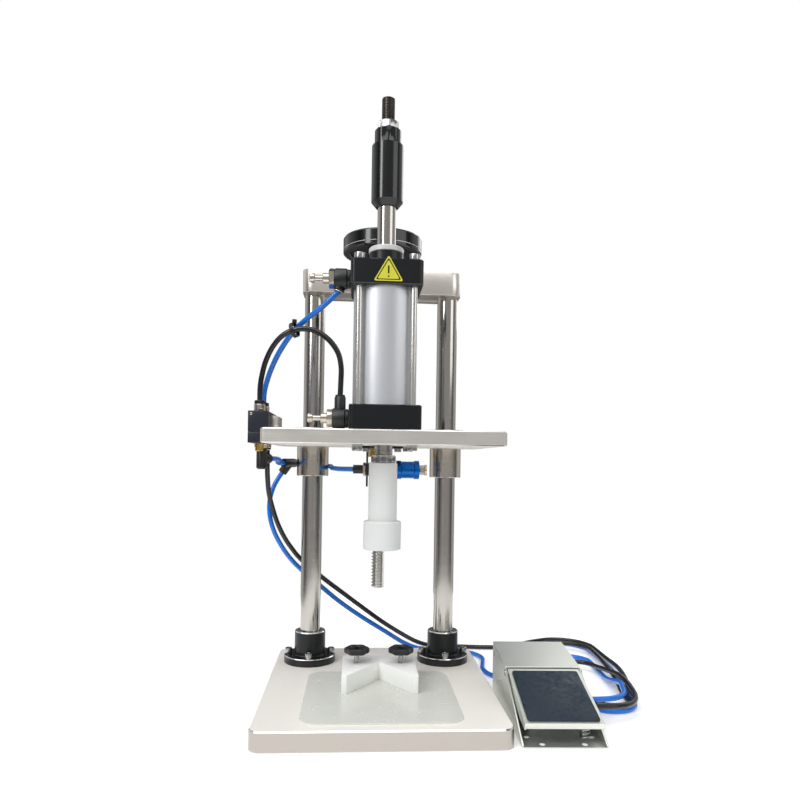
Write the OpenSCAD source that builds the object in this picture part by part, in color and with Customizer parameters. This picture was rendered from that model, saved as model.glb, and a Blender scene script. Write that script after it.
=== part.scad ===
// Bench capping press: two-column stand, height-adjustable carriage with an air
// cylinder, V-block bottle locator and a foot valve on two long hoses.
// +X is to the operator's right, +Y is away from the operator, +Z is up.
// The origin is the centre of the base plate's underside.

/* [Base plate] */
// Width of the base plate
base_w = 250; // [220:1:320]
// Depth of the base plate
base_d = 280; // [260:1:360]
// Thickness of the base plate
base_t = 20; // [14:1:30]
// Corner radius of the base and carriage plates
plate_r = 12; // [6:1:18]
// Side of the square bottle mat
mat_w = 160; // [120:1:180]
// Thickness of the bottle mat
mat_t = 1.2; // [0.8:0.1:3]

/* [Columns] */
// Diameter of the two columns
column_d = 25; // [20:1:30]
// Distance between the column axes
column_gap = 166; // [150:1:190]
// Distance of the columns behind the middle of the base
column_y = 85; // [80:1:95]
// Height of the top beam's underside above the floor
beam_z = 474; // [440:1:540]
// Width of the top beam
beam_w = 195; // [190:1:240]
// Depth of the top beam
beam_d = 50; // [44:1:70]
// Height of the top beam
beam_t = 28; // [20:1:40]
// Diameter of a column foot flange
foot_d = 63; // [60:1:75]
// Thickness of a column foot flange
foot_t = 9; // [6:1:14]
// Diameter of a column foot hub
foot_hub_d = 38; // [34:1:42]
// Height of a column foot
foot_h = 38; // [25:1:50]

/* [Carriage] */
// Width of the carriage plate
plate_w = 250; // [240:1:300]
// Depth of the carriage plate
plate_d = 200; // [190:1:230]
// Thickness of the carriage plate
plate_t = 15; // [10:1:20]
// Height of the carriage plate's underside above the floor
plate_z = 286; // [250:1:310]
// Outer diameter of a guide bush
bush_d = 39; // [35:1:42]
// Diameter of a guide bush's flange
bush_flange_d = 60; // [55:1:64]
// Thickness of a guide bush's flange
bush_flange_t = 7.5; // [5:0.5:10]
// How far a guide bush reaches below the carriage plate
bush_drop = 36.5; // [20:0.5:50]
// Outer diameter of the lead screw
screw_d = 16; // [12:1:20]
// Height of the lead screw's lower end above the floor
screw_end_z = 111; // [90:1:180]

/* [Handwheel] */
// Diameter of the handwheel
wheel_d = 98; // [80:1:120]
// Height of the handwheel's rim
wheel_t = 20; // [14:1:26]
// Diameter of the bearing housing under the handwheel
housing_d = 62; // [50:1:66]
// Height of the bearing housing
housing_h = 24; // [22:1:30]

/* [Cylinder] */
// Distance of the cylinder axis in front of the middle of the base
press_y = -40; // [-45:1:-30]
// Side of the square cylinder caps
cap_w = 75; // [75:1:80]
// Height of each cylinder cap
cap_h = 26; // [22:1:32]
// Height of the cylinder over both caps
cylinder_h = 175; // [150:1:200]
// Outer diameter of the cylinder tube
tube_d = 68; // [67:1:70]
// Inner diameter of the cylinder tube
bore_d = 63; // [50:1:64]
// Diameter of the piston rod
rod_d = 20; // [16:1:24]
// Distance between the tie rod axes
tie_gap = 56.5; // [56:0.5:58]
// Diameter of a tie rod
tie_d = 7; // [6:0.5:8]
// Diameter of the boss on the upper cap
boss_d = 37; // [34:1:42]
// Height of the boss on the upper cap
boss_h = 14.5; // [8:0.5:20]
// Height of the white bumper ring
bumper_h = 6; // [4:0.5:10]
// Travel of the piston rod before the stroke sleeve meets the bumper ring
stroke = 43.5; // [20:0.5:60]
// Diameter of the stroke sleeve
sleeve_d = 34; // [30:1:38]

/* [Capping tool] */
// Diameter of the tool holder
holder_d = 30.5; // [26:0.5:36]
// Length of the tool holder
holder_l = 62; // [40:1:80]
// Diameter of the capping head
head_d = 40; // [34:1:60]
// Height of the capping head
head_h = 30; // [20:1:40]
// Diameter of the recess that seats the bottle cap
cup_d = 28; // [20:1:30]
// Depth of the recess that seats the bottle cap
cup_h = 12; // [6:1:16]

/* [V-block] */
// Width of the V-block
vee_w = 82; // [80:1:100]
// Depth of the V-block
vee_d = 74; // [70:1:84]
// Height of the V-block
vee_h = 20; // [12:1:30]
// Width of the V at its mouth
vee_mouth = 71; // [50:1:74]
// Depth of the V
vee_cut = 49.5; // [30:0.5:52]
// Distance between the two clamp screws
clamp_gap = 50; // [50:1:54]
// Diameter of a star knob
knob_d = 29; // [24:1:32]

/* [Foot valve] */
// Width of the foot valve's tray
pedal_w = 82; // [78:1:100]
// Length of the foot valve's tray
pedal_l = 172; // [165:1:200]
// Height of the foot valve's cover at its back
pedal_h = 56; // [52:1:65]
// Thickness of the foot valve's sheet steel
sheet_t = 1.5; // [1:0.1:2.5]
// Turn of the foot valve seen from above, clockwise
pedal_turn = 2; // [0:0.5:6]

/* [Air hoses] */
// Outer diameter of the air hoses
hose_d = 6; // [6:1:6]
// Height of the carriage valve
valve_h = 35; // [30:1:38]
// Length of the carriage valve
valve_l = 87; // [80:1:95]
// Width of the carriage valve
valve_w = 22; // [18:1:24]

/* [Hidden] */
$fn = 64;
eps = 0.01;
run_gap = 0.05;      // radial clearance of a running fit
soft_gap = 0.3;      // clearance between curved faces of different bodies
sides = [-1, 1];

// Heights that follow from the driving sizes
mat_z = base_t;
vee_z = mat_z + mat_t;
column_top = beam_z + beam_t / 2;
beam_screw_seat = beam_z + beam_t - 11;   // floor of the recess over each column
beam_top = beam_z + beam_t;
wheel_z = beam_top + housing_h + 1;
cylinder_z = plate_z + plate_t;
upper_cap_z = cylinder_z + cylinder_h - cap_h;
boss_z = cylinder_z + cylinder_h;
bumper_z = boss_z + boss_h;
sleeve_z = bumper_z + bumper_h + stroke + 0.5;
sleeve_body_h = 66.5;
sleeve_neck_h = 16;
nut_z = sleeve_z + sleeve_body_h + sleeve_neck_h;
rod_top = nut_z + 35;
holder_top = plate_z - 19;
head_z = holder_top - holder_l;
tool_nut_h = 9;
vee_front = 30 - vee_d;
clamp_y = 2.5;
mat_y = -45;
plate_y = -(cap_w / 2 - press_y) - 7.5 + plate_d / 2;
beam_screw_d = 10;
screw_journal_d = 12;
screw_nut_d = 28;
foot_pcd = (foot_d + foot_hub_d) / 2 + 2;
bush_pcd = (bush_flange_d + bush_d) / 2 + 1;
valve_x = -plate_w / 2 - valve_w / 2;
valve_y = -22;
rail_t = 7.5;

// ---- shared shapes ---------------------------------------------------------
module at(x, y, z) { translate([x, y, z]) children(); }
module both_columns() { for (s = sides) at(s * column_gap / 2, column_y, 0) children(); }
module along_x(x, y, z) { translate([x, y, z]) rotate([0, 90, 0]) children(); }
module along_y(x, y, z) { translate([x, y, z]) rotate([-90, 0, 0]) children(); }

module rounded_plate(w, d, t, r) {
    linear_extrude(t) union() {
        square([w - 2 * r, d], center = true);
        square([w, d - 2 * r], center = true);
        for (x = sides, y = sides) translate([x * (w / 2 - r), y * (d / 2 - r)]) circle(r);
    }
}
module ring(d_out, d_in, h) {
    rotate_extrude() translate([d_in / 2, 0]) square([(d_out - d_in) / 2, h]);
}
module hexagon(across_flats, h) { cylinder(d = across_flats / cos(30), h = h, $fn = 6); }
module hex_nut(across_flats, d_in, h) {
    difference() {
        hexagon(across_flats, h);
        at(0, 0, -1) cylinder(d = d_in, h = h + 2);
    }
}
// A socket head screw with its head on z = 0 and its shank below
module cap_screw(d, head_d, head_h, l, socket) {
    difference() {
        union() {
            cylinder(d = head_d, h = head_h);
            at(0, 0, -l) cylinder(d = d, h = l + eps);
        }
        at(0, 0, head_h * 0.45) hexagon(socket, head_h);
    }
}
module bolt_circle(pcd, count = 4, start = 0) {
    for (i = [0:count - 1]) rotate(start + i * 360 / count) at(pcd / 2, 0, 0) children();
}
module tie_places() { for (x = sides, y = sides) at(x * tie_gap / 2, press_y + y * tie_gap / 2, 0) children(); }

// ---- swept hoses -----------------------------------------------------------
function unit(v) = v / norm(v);
// Point on a smooth curve through four route points, t from 0 to 1 between b and c
function curve(a, b, c, d, t) = 0.5 * (2 * b + (c - a) * t + (2 * a - 5 * b + 4 * c - d) * t * t
    + (3 * b - a - 3 * c + d) * t * t * t);
function smooth(p, n) = let (last = len(p) - 1) concat([for (i = [0:last - 1], k = [0:n - 1])
    curve(p[max(i - 1, 0)], p[i], p[i + 1], p[min(i + 2, last)], k / n)], [p[last]]);
function tangents(p) = let (last = len(p) - 1)
    [for (i = [0:last]) unit(p[min(i + 1, last)] - p[max(i - 1, 0)])];
function square_to(v, t) = unit(v - (v * t) * t);
function normals(t, n0) = [for (i = 0, n = square_to(n0, t[0]); i < len(t);
    i = i + 1, n = i < len(t) ? square_to(n, t[i]) : n) n];
module hose(route, n, d, n0 = [0, 1, 0], facets = 8) {
    p = smooth(route, n);
    t = tangents(p);
    u = normals(t, n0);
    last = len(p) - 1;
    rings = [for (i = [0:last], k = [0:facets - 1]) let (w = cross(t[i], u[i]), a = k * 360 / facets)
        p[i] + d / 2 * (cos(a) * u[i] + sin(a) * w)];
    walls = [for (i = [0:last - 1], k = [0:facets - 1]) let (m = (k + 1) % facets)
        [i * facets + k, (i + 1) * facets + k, (i + 1) * facets + m, i * facets + m]];
    ends = [[for (k = [0:facets - 1]) k], [for (k = [facets - 1:-1:0]) last * facets + k]];
    polyhedron(points = rings, faces = concat(walls, ends), convexity = 10);
}

// ---- stand -----------------------------------------------------------------
module base_plate() {
    color("gainsboro") difference() {
        rounded_plate(base_w, base_d, base_t, plate_r);
        both_columns() bolt_circle(foot_pcd) at(0, 0, 6) cylinder(d = 5, h = base_t);
        for (s = sides) at(s * clamp_gap / 2, clamp_y, 6) cylinder(d = 6, h = base_t);
    }
}
module base_mat() {
    color("whitesmoke", 0.7) difference() {
        at(0, mat_y, mat_z) rounded_plate(mat_w, mat_w, mat_t, 18);
        for (s = sides) at(s * clamp_gap / 2, clamp_y, mat_z - 1) cylinder(d = 7, h = mat_t + 2);
    }
}
module foot_flanges() {
    color([0.1, 0.1, 0.11]) both_columns() at(0, 0, base_t) difference() {
        union() {
            cylinder(d = foot_d, h = foot_t);
            cylinder(d = foot_hub_d, h = foot_h);
        }
        at(0, 0, -1) cylinder(d = column_d, h = foot_h + 2);
        bolt_circle(foot_pcd) at(0, 0, -1) cylinder(d = 5.5, h = foot_t + 2);
    }
}
module columns() {
    color("silver") both_columns() at(0, 0, base_t) difference() {
        cylinder(d = column_d, h = column_top - base_t);
        at(0, 0, column_top - base_t - 30) cylinder(d = beam_screw_d, h = 31);
    }
}
module top_beam() {
    color("lightgray") difference() {
        at(0, column_y, beam_z) rounded_plate(beam_w, beam_d, beam_t, 14);
        both_columns() {
            at(0, 0, beam_z - 1) cylinder(d = column_d, h = column_top - beam_z + 1);
            at(0, 0, beam_z) cylinder(d = beam_screw_d + 1, h = beam_t + 1);
            at(0, 0, beam_screw_seat) cylinder(d = 17, h = 12);
        }
        at(0, column_y, beam_z - 1) cylinder(d = screw_d + 3, h = beam_t + 2);
        at(0, column_y, 0) bolt_circle(housing_d - 12, 4, 45) at(0, 0, beam_top - 12) cylinder(d = 5, h = 13);
    }
}
module frame_screws() {
    color("silver") {
        both_columns() {
            bolt_circle(foot_pcd) at(0, 0, base_t + foot_t) cap_screw(5, 8.5, 7, foot_t + 10, 4);
            at(0, 0, beam_screw_seat) cap_screw(beam_screw_d, 16, 10, beam_screw_seat - column_top + 29, 8);
        }
        at(0, column_y, beam_top + 6) bolt_circle(housing_d - 12, 4, 45) cap_screw(5, 8.5, 5, 16, 4);
    }
}
module bearing_housing() {
    color([0.13, 0.13, 0.14]) at(0, column_y, beam_top) difference() {
        union() {
            cylinder(d = housing_d, h = 6);
            cylinder(d = 38, h = housing_h);
        }
        at(0, 0, -1) cylinder(d = screw_d + 3, h = housing_h + 2);
        at(0, 0, 6) cylinder(d = 32, h = housing_h);
        bolt_circle(housing_d - 12, 4, 45) at(0, 0, -1) cylinder(d = 5.5, h = 8);
    }
}
module screw_bearings() {
    color("lightsteelblue") for (z = [beam_top + 6, beam_top + 15])
        at(0, column_y, z) ring(32, screw_journal_d, 9);
}
module v_block() {
    color("white") difference() {
        at(-vee_w / 2, vee_front, vee_z) cube([vee_w, vee_d, vee_h]);
        at(0, vee_front, vee_z - 1) linear_extrude(vee_h + 2)
            polygon([[-vee_mouth / 2 - 0.5, -0.7], [vee_mouth / 2 + 0.5, -0.7], [0, vee_cut]]);
        for (s = sides) at(s * clamp_gap / 2, clamp_y, vee_z - 1) cylinder(d = 7, h = vee_h + 2);
    }
}
knob_z = vee_z + vee_h + 9.5;
module clamp_studs() {
    color("silver") for (s = sides) at(s * clamp_gap / 2, clamp_y, 6) cylinder(d = 6, h = knob_z + 3 - 6);
}
module star_knob() {
    color([0.08, 0.08, 0.09]) difference() {
        union() {
            cylinder(d = knob_d - 6, h = 7);
            bolt_circle(knob_d - 8, 6) cylinder(d = 8, h = 6.5);
            cylinder(d = knob_d - 12, h = 8);
        }
        at(0, 0, -1) cylinder(d = 6 + 2 * run_gap, h = 4.5);
    }
}
module left_knob() { at(-clamp_gap / 2, clamp_y, knob_z) star_knob(); }
module right_knob() { at(clamp_gap / 2, clamp_y, knob_z) star_knob(); }

// ---- lead screw ------------------------------------------------------------
screw_shoulder_z = beam_top + 6 - soft_gap;
journal = screw_journal_d - 2 * run_gap;
module lead_screw() {
    color("silver") at(0, column_y, 0) {
        at(0, 0, screw_end_z) cylinder(d = screw_d, h = screw_shoulder_z - screw_end_z);
        at(0, 0, screw_shoulder_z - 1) cylinder(d = journal, h = wheel_z + wheel_t + 3 - screw_shoulder_z);
    }
}
module handwheel() {
    color([0.09, 0.09, 0.1]) at(0, column_y, wheel_z) difference() {
        union() {
            ring(wheel_d, wheel_d - 18, wheel_t);
            at(0, 0, 4) cylinder(d = wheel_d - 17, h = 8);
            cylinder(d = 28, h = wheel_t - 2);
        }
        at(0, 0, -1) cylinder(d = journal, h = wheel_t + 2);
    }
}

// ---- carriage --------------------------------------------------------------
module carriage_plate() {
    color("gainsboro") difference() {
        at(0, plate_y, plate_z) rounded_plate(plate_w, plate_d, plate_t, plate_r);
        both_columns() {
            at(0, 0, plate_z - 1) cylinder(d = bush_d, h = plate_t + 2);
            bolt_circle(bush_pcd, 4, 45) at(0, 0, plate_z + 3) cylinder(d = 4, h = plate_t);
        }
        at(0, column_y, plate_z - 1) cylinder(d = screw_nut_d, h = plate_t + 2);
        at(0, press_y, plate_z - 1) cylinder(d = rod_d + 8, h = plate_t + 2);
        tie_places() at(0, 0, plate_z - 1) cylinder(d = 6.6, h = plate_t + 2);
    }
}
module guide_bushes() {
    color("silver") both_columns() difference() {
        union() {
            at(0, 0, plate_z - bush_drop) cylinder(d = bush_d, h = bush_drop + plate_t + 1);
            at(0, 0, plate_z + plate_t) cylinder(d = bush_flange_d, h = bush_flange_t);
        }
        at(0, 0, plate_z - bush_drop - 1) cylinder(d = column_d + 2 * run_gap, h = bush_drop + plate_t + 20);
        bolt_circle(bush_pcd, 4, 45) at(0, 0, plate_z + plate_t - 1) cylinder(d = 4.5, h = 20);
        bolt_circle(bush_pcd, 4, 45) at(0, 0, plate_z + plate_t + 3.5) cylinder(d = 7.6, h = 20);
    }
}
module screw_nut() {
    color("goldenrod") at(0, column_y, 0) difference() {
        union() {
            at(0, 0, plate_z - 12) cylinder(d = screw_nut_d, h = plate_t + 13);
            at(0, 0, plate_z + plate_t) cylinder(d = 46, h = 10);
        }
        at(0, 0, plate_z - 13) cylinder(d = screw_d + 2 * run_gap, h = plate_t + 40);
    }
}
module carriage_screws() {
    color("silver") {
        both_columns() bolt_circle(bush_pcd, 4, 45) at(0, 0, plate_z + plate_t + 3.5) cap_screw(4, 7, 4, 12, 3);
        tie_places() at(0, 0, plate_z) mirror([0, 0, 1]) cap_screw(6, 10, 6, plate_t + 6, 5);
        for (s = sides) at(s * 18, 2, bracket_z) mirror([0, 0, 1]) cap_screw(6, 10, 4.5, bracket_flange_t, 5);
    }
}
tie_head_d = 12;
tie_head_h = 7;
port_d = 13;
tube_z = cylinder_z + cap_h - 4;
module lower_cap() {
    color([0.11, 0.12, 0.12]) difference() {
        at(-cap_w / 2, press_y - cap_w / 2, cylinder_z) cube([cap_w, cap_w, cap_h]);
        at(0, press_y, cylinder_z - 1) cylinder(d = rod_d + 2 * run_gap, h = cap_h + 2);
        at(0, press_y, tube_z) cylinder(d = tube_d, h = cap_h);
        tie_places() at(0, 0, cylinder_z - 1) cylinder(d = tie_d, h = cap_h + 2);
        tie_places() at(0, 0, cylinder_z - 1) cylinder(d = tie_head_d, h = tie_head_h + 1);
        along_x(-cap_w / 2 - 1, press_y, cylinder_z + cap_h / 2) cylinder(d = port_d, h = 8);
    }
}
module upper_cap() {
    color([0.11, 0.12, 0.12]) difference() {
        union() {
            at(-cap_w / 2, press_y - cap_w / 2, upper_cap_z) cube([cap_w, cap_w, cap_h]);
            at(0, press_y, upper_cap_z + 1) cylinder(d = boss_d, h = cap_h + boss_h - 1);
        }
        at(0, press_y, upper_cap_z - 1) cylinder(d = rod_d + 2 * run_gap, h = cap_h + boss_h + 2);
        at(0, press_y, upper_cap_z - 1) cylinder(d = tube_d, h = 5);
        tie_places() at(0, 0, upper_cap_z - 1) cylinder(d = tie_d, h = cap_h + 2);
        tie_places() at(0, 0, upper_cap_z + cap_h - tie_head_h) cylinder(d = tie_head_d, h = tie_head_h + 1);
        along_x(-cap_w / 2 - 1, press_y, upper_cap_z + cap_h / 2) cylinder(d = port_d, h = 8);
    }
}
module cylinder_tube() {
    color("lightgray") at(0, press_y, tube_z) ring(tube_d, bore_d, upper_cap_z + 4 - tube_z);
}
module tie_rods() {
    color("silver") tie_places() difference() {
        union() {
            at(0, 0, cylinder_z + 1) cylinder(d = tie_d, h = cylinder_h - 2);
            at(0, 0, cylinder_z) cylinder(d = tie_head_d, h = tie_head_h);
            at(0, 0, boss_z - tie_head_h) cylinder(d = tie_head_d, h = tie_head_h);
        }
        at(0, 0, cylinder_z - 1) cylinder(d = 6, h = 9);
        at(0, 0, boss_z - 4) hexagon(6, 5);
    }
}
module bumper_ring() {
    color("white") at(0, press_y, bumper_z) ring(boss_d + 0.5, rod_d + 1, bumper_h);
}

// ---- press rod -------------------------------------------------------------
piston_h = 25;
// The bare thread above the jam nut, with a relief groove below it
stud_d = 14;
stud_relief_d = 13;
stud_z = nut_z + 10;
module piston_rod() {
    color("gainsboro") at(0, press_y, 0) union() {
        at(0, 0, holder_top) cylinder(d = rod_d, h = sleeve_z + 12 - holder_top);
        at(0, 0, sleeve_z + 11) cylinder(d = stud_relief_d, h = stud_z - sleeve_z - 11);
        at(0, 0, stud_z) cylinder(d = stud_d, h = rod_top - stud_z);
        at(0, 0, holder_top - 30) cylinder(d = stud_relief_d, h = 31);
    }
}
module piston() {
    color("dimgray") at(0, press_y, upper_cap_z - piston_h - 1) ring(bore_d - 2 * run_gap, rod_d, piston_h);
}
module stroke_sleeve() {
    color([0.09, 0.09, 0.1]) at(0, press_y, sleeve_z) difference() {
        union() {
            cylinder(d1 = sleeve_d - 10, d2 = sleeve_d, h = 6);
            at(0, 0, 6 - eps) cylinder(d = sleeve_d, h = sleeve_body_h - 6);
            at(0, 0, sleeve_body_h - 1) cylinder(d = sleeve_d - 5.5, h = sleeve_neck_h + 1);
        }
        at(0, 0, -1) cylinder(d = rod_d, h = 13);
        at(0, 0, 11) cylinder(d = stud_relief_d, h = sleeve_body_h + sleeve_neck_h);
        for (s = sides) at(-20, s * 20 - 8, sleeve_body_h + 3) cube([40, 16, 11]);
    }
}
module rod_nuts() {
    color("silver") at(0, press_y, 0) {
        at(0, 0, nut_z) rotate(12) hex_nut(22, stud_relief_d, 9);
        at(0, 0, holder_top) rotate(8) hex_nut(26, rod_d, tool_nut_h - 0.5);
    }
}
module capping_head() {
    color("white") at(0, press_y, 0) difference() {
        union() {
            at(0, 0, head_z - eps) cylinder(d = holder_d, h = holder_l + eps);
            at(0, 0, head_z - head_h) cylinder(d = head_d, h = head_h);
        }
        at(0, 0, holder_top - 30) cylinder(d = stud_relief_d, h = 31);
        at(0, 0, head_z - head_h - 1) cylinder(d = cup_d, h = cup_h + 1);
    }
}

// ---- speed controllers -----------------------------------------------------
controller_x = -cap_w / 2;
module controller(z, up) {
    color([0.12, 0.12, 0.14]) at(controller_x, press_y, z) {
        along_x(-2, 0, 0) cylinder(d = port_d, h = 8);
        difference() {
            union() {
                along_x(-17.5, 0, 0) cylinder(d = up ? 20 : 22, h = 15.5);
                rotate([0, up ? 0 : 200, 0]) at(up ? -9.5 : 9.5 * cos(20), 0, 4) cylinder(d = 12, h = up ? 21 : 11);
            }
            along_x(-30, 0, 0) cylinder(d = 5 + 2 * run_gap, h = 26);
        }
    }
    color("silver") at(controller_x, press_y, z) difference() {
        union() {
            along_x(-23.5, 0, 0) hexagon(up ? 16 : 19, 6.2);
            along_x(-30, 0, 0) cylinder(d = 11, h = 6.7);
        }
        along_x(-31, 0, 0) cylinder(d = 5 + 2 * run_gap, h = 40);
    }
}
module needle(z) {
    color("silver") at(controller_x, press_y, z) difference() {
        union() {
            along_x(-44, 0, 0) cylinder(d = 6.4, h = 5);
            along_x(-40, 0, 0) cylinder(d = 5, h = 30);
            along_x(-38.5, 0, 0) cylinder(d = 8, h = 8);
        }
        along_x(-44.5, 0, 0) hexagon(3, 3);
    }
}
upper_port_z = upper_cap_z + cap_h / 2;
lower_port_z = cylinder_z + cap_h / 2;
module upper_controller() { controller(upper_port_z, false); }
module lower_controller() { controller(lower_port_z, true); }
module upper_needle() { needle(upper_port_z); }
module lower_needle() { needle(lower_port_z); }

// ---- carriage valve and its fittings -----------------------------------------
module carriage_valve() {
    color([0.12, 0.13, 0.15]) difference() {
        at(valve_x - valve_w / 2, valve_y, plate_z + 1) cube([valve_w, valve_l, valve_h]);
        for (y = [-10, 22]) at(valve_x, y, plate_z + 1 + valve_h - 8) cylinder(d = 10, h = 9);
        for (y = [-10, 12, 30, 60]) at(valve_x, y, plate_z) cylinder(d = 9, h = 9);
    }
}
module valve_rail() {
    color("silver") difference() {
        at(-plate_w / 2, 0, cylinder_z) cube([rail_t, 46, 17]);
        for (y = [10, 36]) at(-plate_w / 2 + rail_t / 2, y, cylinder_z - 1) cylinder(d = 4, h = 15);
    }
}
valve_top = plate_z + 1 + valve_h;
valve_low = plate_z + 1;
module valve_fittings() {
    color("silver") for (y = [-10, 22]) at(valve_x, y, valve_top) {
        at(0, 0, -8) cylinder(d = 10, h = 9);
        hexagon(13, 8);
        at(0, 0, 7) cylinder(d = 11, h = 2.5);
        at(0, 0, 9) color([0.1, 0.1, 0.1]) cylinder(d = 10, h = 3);
    }
    color("silver") at(valve_x, 60, valve_low) {
        at(0, 0, -6) cylinder(d = 9, h = 14);
    }
}
module silencers() {
    color("goldenrod") for (y = [-10, 30]) at(valve_x, y, valve_low - 6) {
        hexagon(11, 6);
        at(0, 0, 5) cylinder(d = 9, h = 8);
        at(0, 0, -3) cylinder(d = 9, h = 4);
    }
}
elbow_y = 12;
elbow_z = 270;
elbow_turn = 53;
module elbow_fitting() {
    color([0.1, 0.1, 0.11]) at(valve_x, elbow_y, 0) {
        at(0, 0, elbow_z - 12) cylinder(d = 12, h = valve_low - elbow_z + 12);
        at(0, 0, valve_low - 1) cylinder(d = 9, h = 8);
        at(0, 0, elbow_z) rotate(elbow_turn) along_x(0, 0, 0) cylinder(d = 11, h = 13);
    }
}
tee_place = [-113, 94, 265];
tee_turn = 63;
tee_arm = 13;
tee_tilt = 35;
module tee_fitting() {
    color([0.1, 0.1, 0.11]) translate(tee_place) {
        rotate(tee_turn) along_x(-tee_arm, 0, 0) cylinder(d = 11, h = 2 * tee_arm);
        rotate([0, 180 + tee_tilt, 0]) cylinder(d = 11, h = 15);
    }
}
bracket_flange_t = 2;
bracket_z = plate_z - bracket_flange_t;
bulkhead = [-15, 40, 259];
module hose_bracket() {
    color([0.1, 0.1, 0.11]) difference() {
        union() {
            at(-25, -4, bracket_z) cube([50, 56, bracket_flange_t]);
            at(bulkhead[0] - 2, 28, bulkhead[2] - 20) cube([2, 24, plate_z - bulkhead[2] + 20 - 1]);
        }
        for (s = sides) at(s * 18, 2, bracket_z - 1) cylinder(d = 6, h = 4);
        along_x(bulkhead[0] - 3, bulkhead[1], bulkhead[2]) cylinder(d = 10, h = 4);
    }
}
module bulkhead_fitting() {
    color("silver") translate(bulkhead) {
        along_x(-12.5, 0, 0) hexagon(10, 6.5);
        along_x(-17.5, 0, 0) cylinder(d = 10, h = 5.5);
        along_x(-6, 0, 0) cylinder(d = 16, h = 4);
        along_x(-6, 0, 0) cylinder(d = 10, h = 12);
        along_x(0, 0, 0) cylinder(d = 16, h = 4);
    }
}
slide_x = bulkhead[0] + 6;
module slide_valve() {
    color("silver") translate([slide_x, bulkhead[1], bulkhead[2]]) {
        along_x(0, 0, 0) cylinder(d = 17, h = 54);
        along_x(53.5, 0, 0) hexagon(10, 8);
        along_x(61, 0, 0) cylinder(d = 13, h = 3);
    }
}
module slide_sleeve() {
    color("royalblue") translate([slide_x + 27.7, bulkhead[1], bulkhead[2]]) {
        rotate([0, 90, 0]) difference() {
            union() {
                cylinder(d = 22, h = 7);
                cylinder(d = 20, h = 27);
                at(0, 0, 18) cylinder(d = 22, h = 8);
            }
            at(0, 0, -1) cylinder(d = 17 + 2 * run_gap, h = 29);
        }
    }
}

// ---- hoses held by the carriage ----------------------------------------------
outlet_route = [[-47, press_y, 339], [-46.5, press_y, 354], [-46.5, -40, 369], [-50, -39, 384],
    [-59, -37, 397], [-71, -35, 406], [-84, -33, 410], [-98, -30, 409], [-111, -26, 403],
    [-122, -21, 391], [-130, -16, 375], [-134.5, -12, 358], [-136, -10, 346], [-136, -10, 334]];
return_route = [[-51.1, press_y, 449.2], [-57, -40, 443], [-67, -37, 434], [-84, -29, 422],
    [-98, -20, 411], [-109, -10, 399], [-119, 0, 385], [-128, 10, 368], [-134, 18, 352],
    [-136, 22, 342], [-136, 22, 334]];
link_one = [[-128.2, 22.4, 270], [-124.5, 27.5, 270], [-121, 35, 269.5], [-120, 45, 268.5],
    [-122, 56, 267], [-124, 66, 266], [-122.5, 75, 265], [-118.9, 82.4, 265]];
link_two = [[-107.1, 105.6, 265], [-104, 112, 265], [-98, 120, 264.5], [-88, 125, 264], [-77, 122, 263],
    [-68, 114, 262], [-62, 103, 261.5], [-60, 90, 261], [-59, 76, 260], [-55, 62, 259.5],
    [-49, 50, 259], [-41, 42, 259], [-32.5, 40, 259]];
module outlet_hose() { color([0.08, 0.08, 0.1]) hose(outlet_route, 2, hose_d); }
module return_hose() { color("dodgerblue") hose(return_route, 2, hose_d); }
module link_hoses() {
    color("dodgerblue") {
        hose(link_one, 2, hose_d, [0, 0, 1]);
        hose(link_two, 2, hose_d, [0, 0, 1]);
    }
}

// ---- free hoses to the foot valve ----------------------------------------------
supply_route = [[-121.9, 94, 252.3], [-126, 93.5, 246], [-132, 91, 234], [-136, 88, 216],
    [-135, 88, 197], [-130, 90, 179], [-122, 95, 162], [-112, 101, 146], [-99, 107, 131],
    [-72, 117, 106], [-50, 126, 86], [-21, 139, 63], [12, 156, 39], [42, 174, 17], [66, 186, 6],
    [92, 189, 3.3], [118, 186, 3], [138, 171, 3], [146, 149, 3], [142, 125, 3], [138, 102, 3],
    [142, 80, 3], [156, 64, 3], [176, 60, 3], [195, 69, 3], [210, 86, 3], [226, 106, 3]];
signal_route = [[-136, 60, 280.5], [-136, 61, 266], [-136, 65, 248], [-135, 73, 228], [-131, 79, 209],
    [-125, 83, 190], [-117, 89, 172], [-107, 95, 156], [-96, 102, 142], [-70, 113, 118],
    [-46, 123, 98], [-21, 136, 77], [8, 152, 53], [36, 174, 31], [60, 194, 14], [82, 204, 5.5],
    [104, 208, 3.4], [128, 207, 3.1], [154, 204, 3], [182, 204, 3], [208, 213, 3], [230, 230, 3], [240, 238, 3]];
// Last stretches, over the top of the loops to the foot valve's two fittings
supply_end = [[223.3, -58.7, 19], [236, -58, 19], [250, -53, 18], [263, -43, 17], [272, -29, 16],
    [277, -13, 15.8], [281, 4, 15.8]];
signal_end = [[222.6, -78.7, 19], [238, -78, 18.5], [253, -73, 17], [266, -64, 16], [275, -52, 15.8],
    [281, -38, 15.8], [285, -22, 15.8]];
// The foot valve and the floor hoses move out with the base plate's right edge
foot_shift = base_w / 2 - 125;
function moved(route) = [for (p = route) [p.x + foot_shift * max(0, min(1, (p.x - 40) / 80)), p.y, p.z]];
module supply_hose() {
    color("dodgerblue") {
        hose(moved(supply_route), 2, hose_d);
        hose(moved(supply_end), 2, hose_d);
    }
}
module signal_hose() {
    color([0.08, 0.08, 0.1]) {
        hose(moved(signal_route), 2, hose_d);
        hose(moved(signal_end), 2, hose_d);
    }
}

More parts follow.
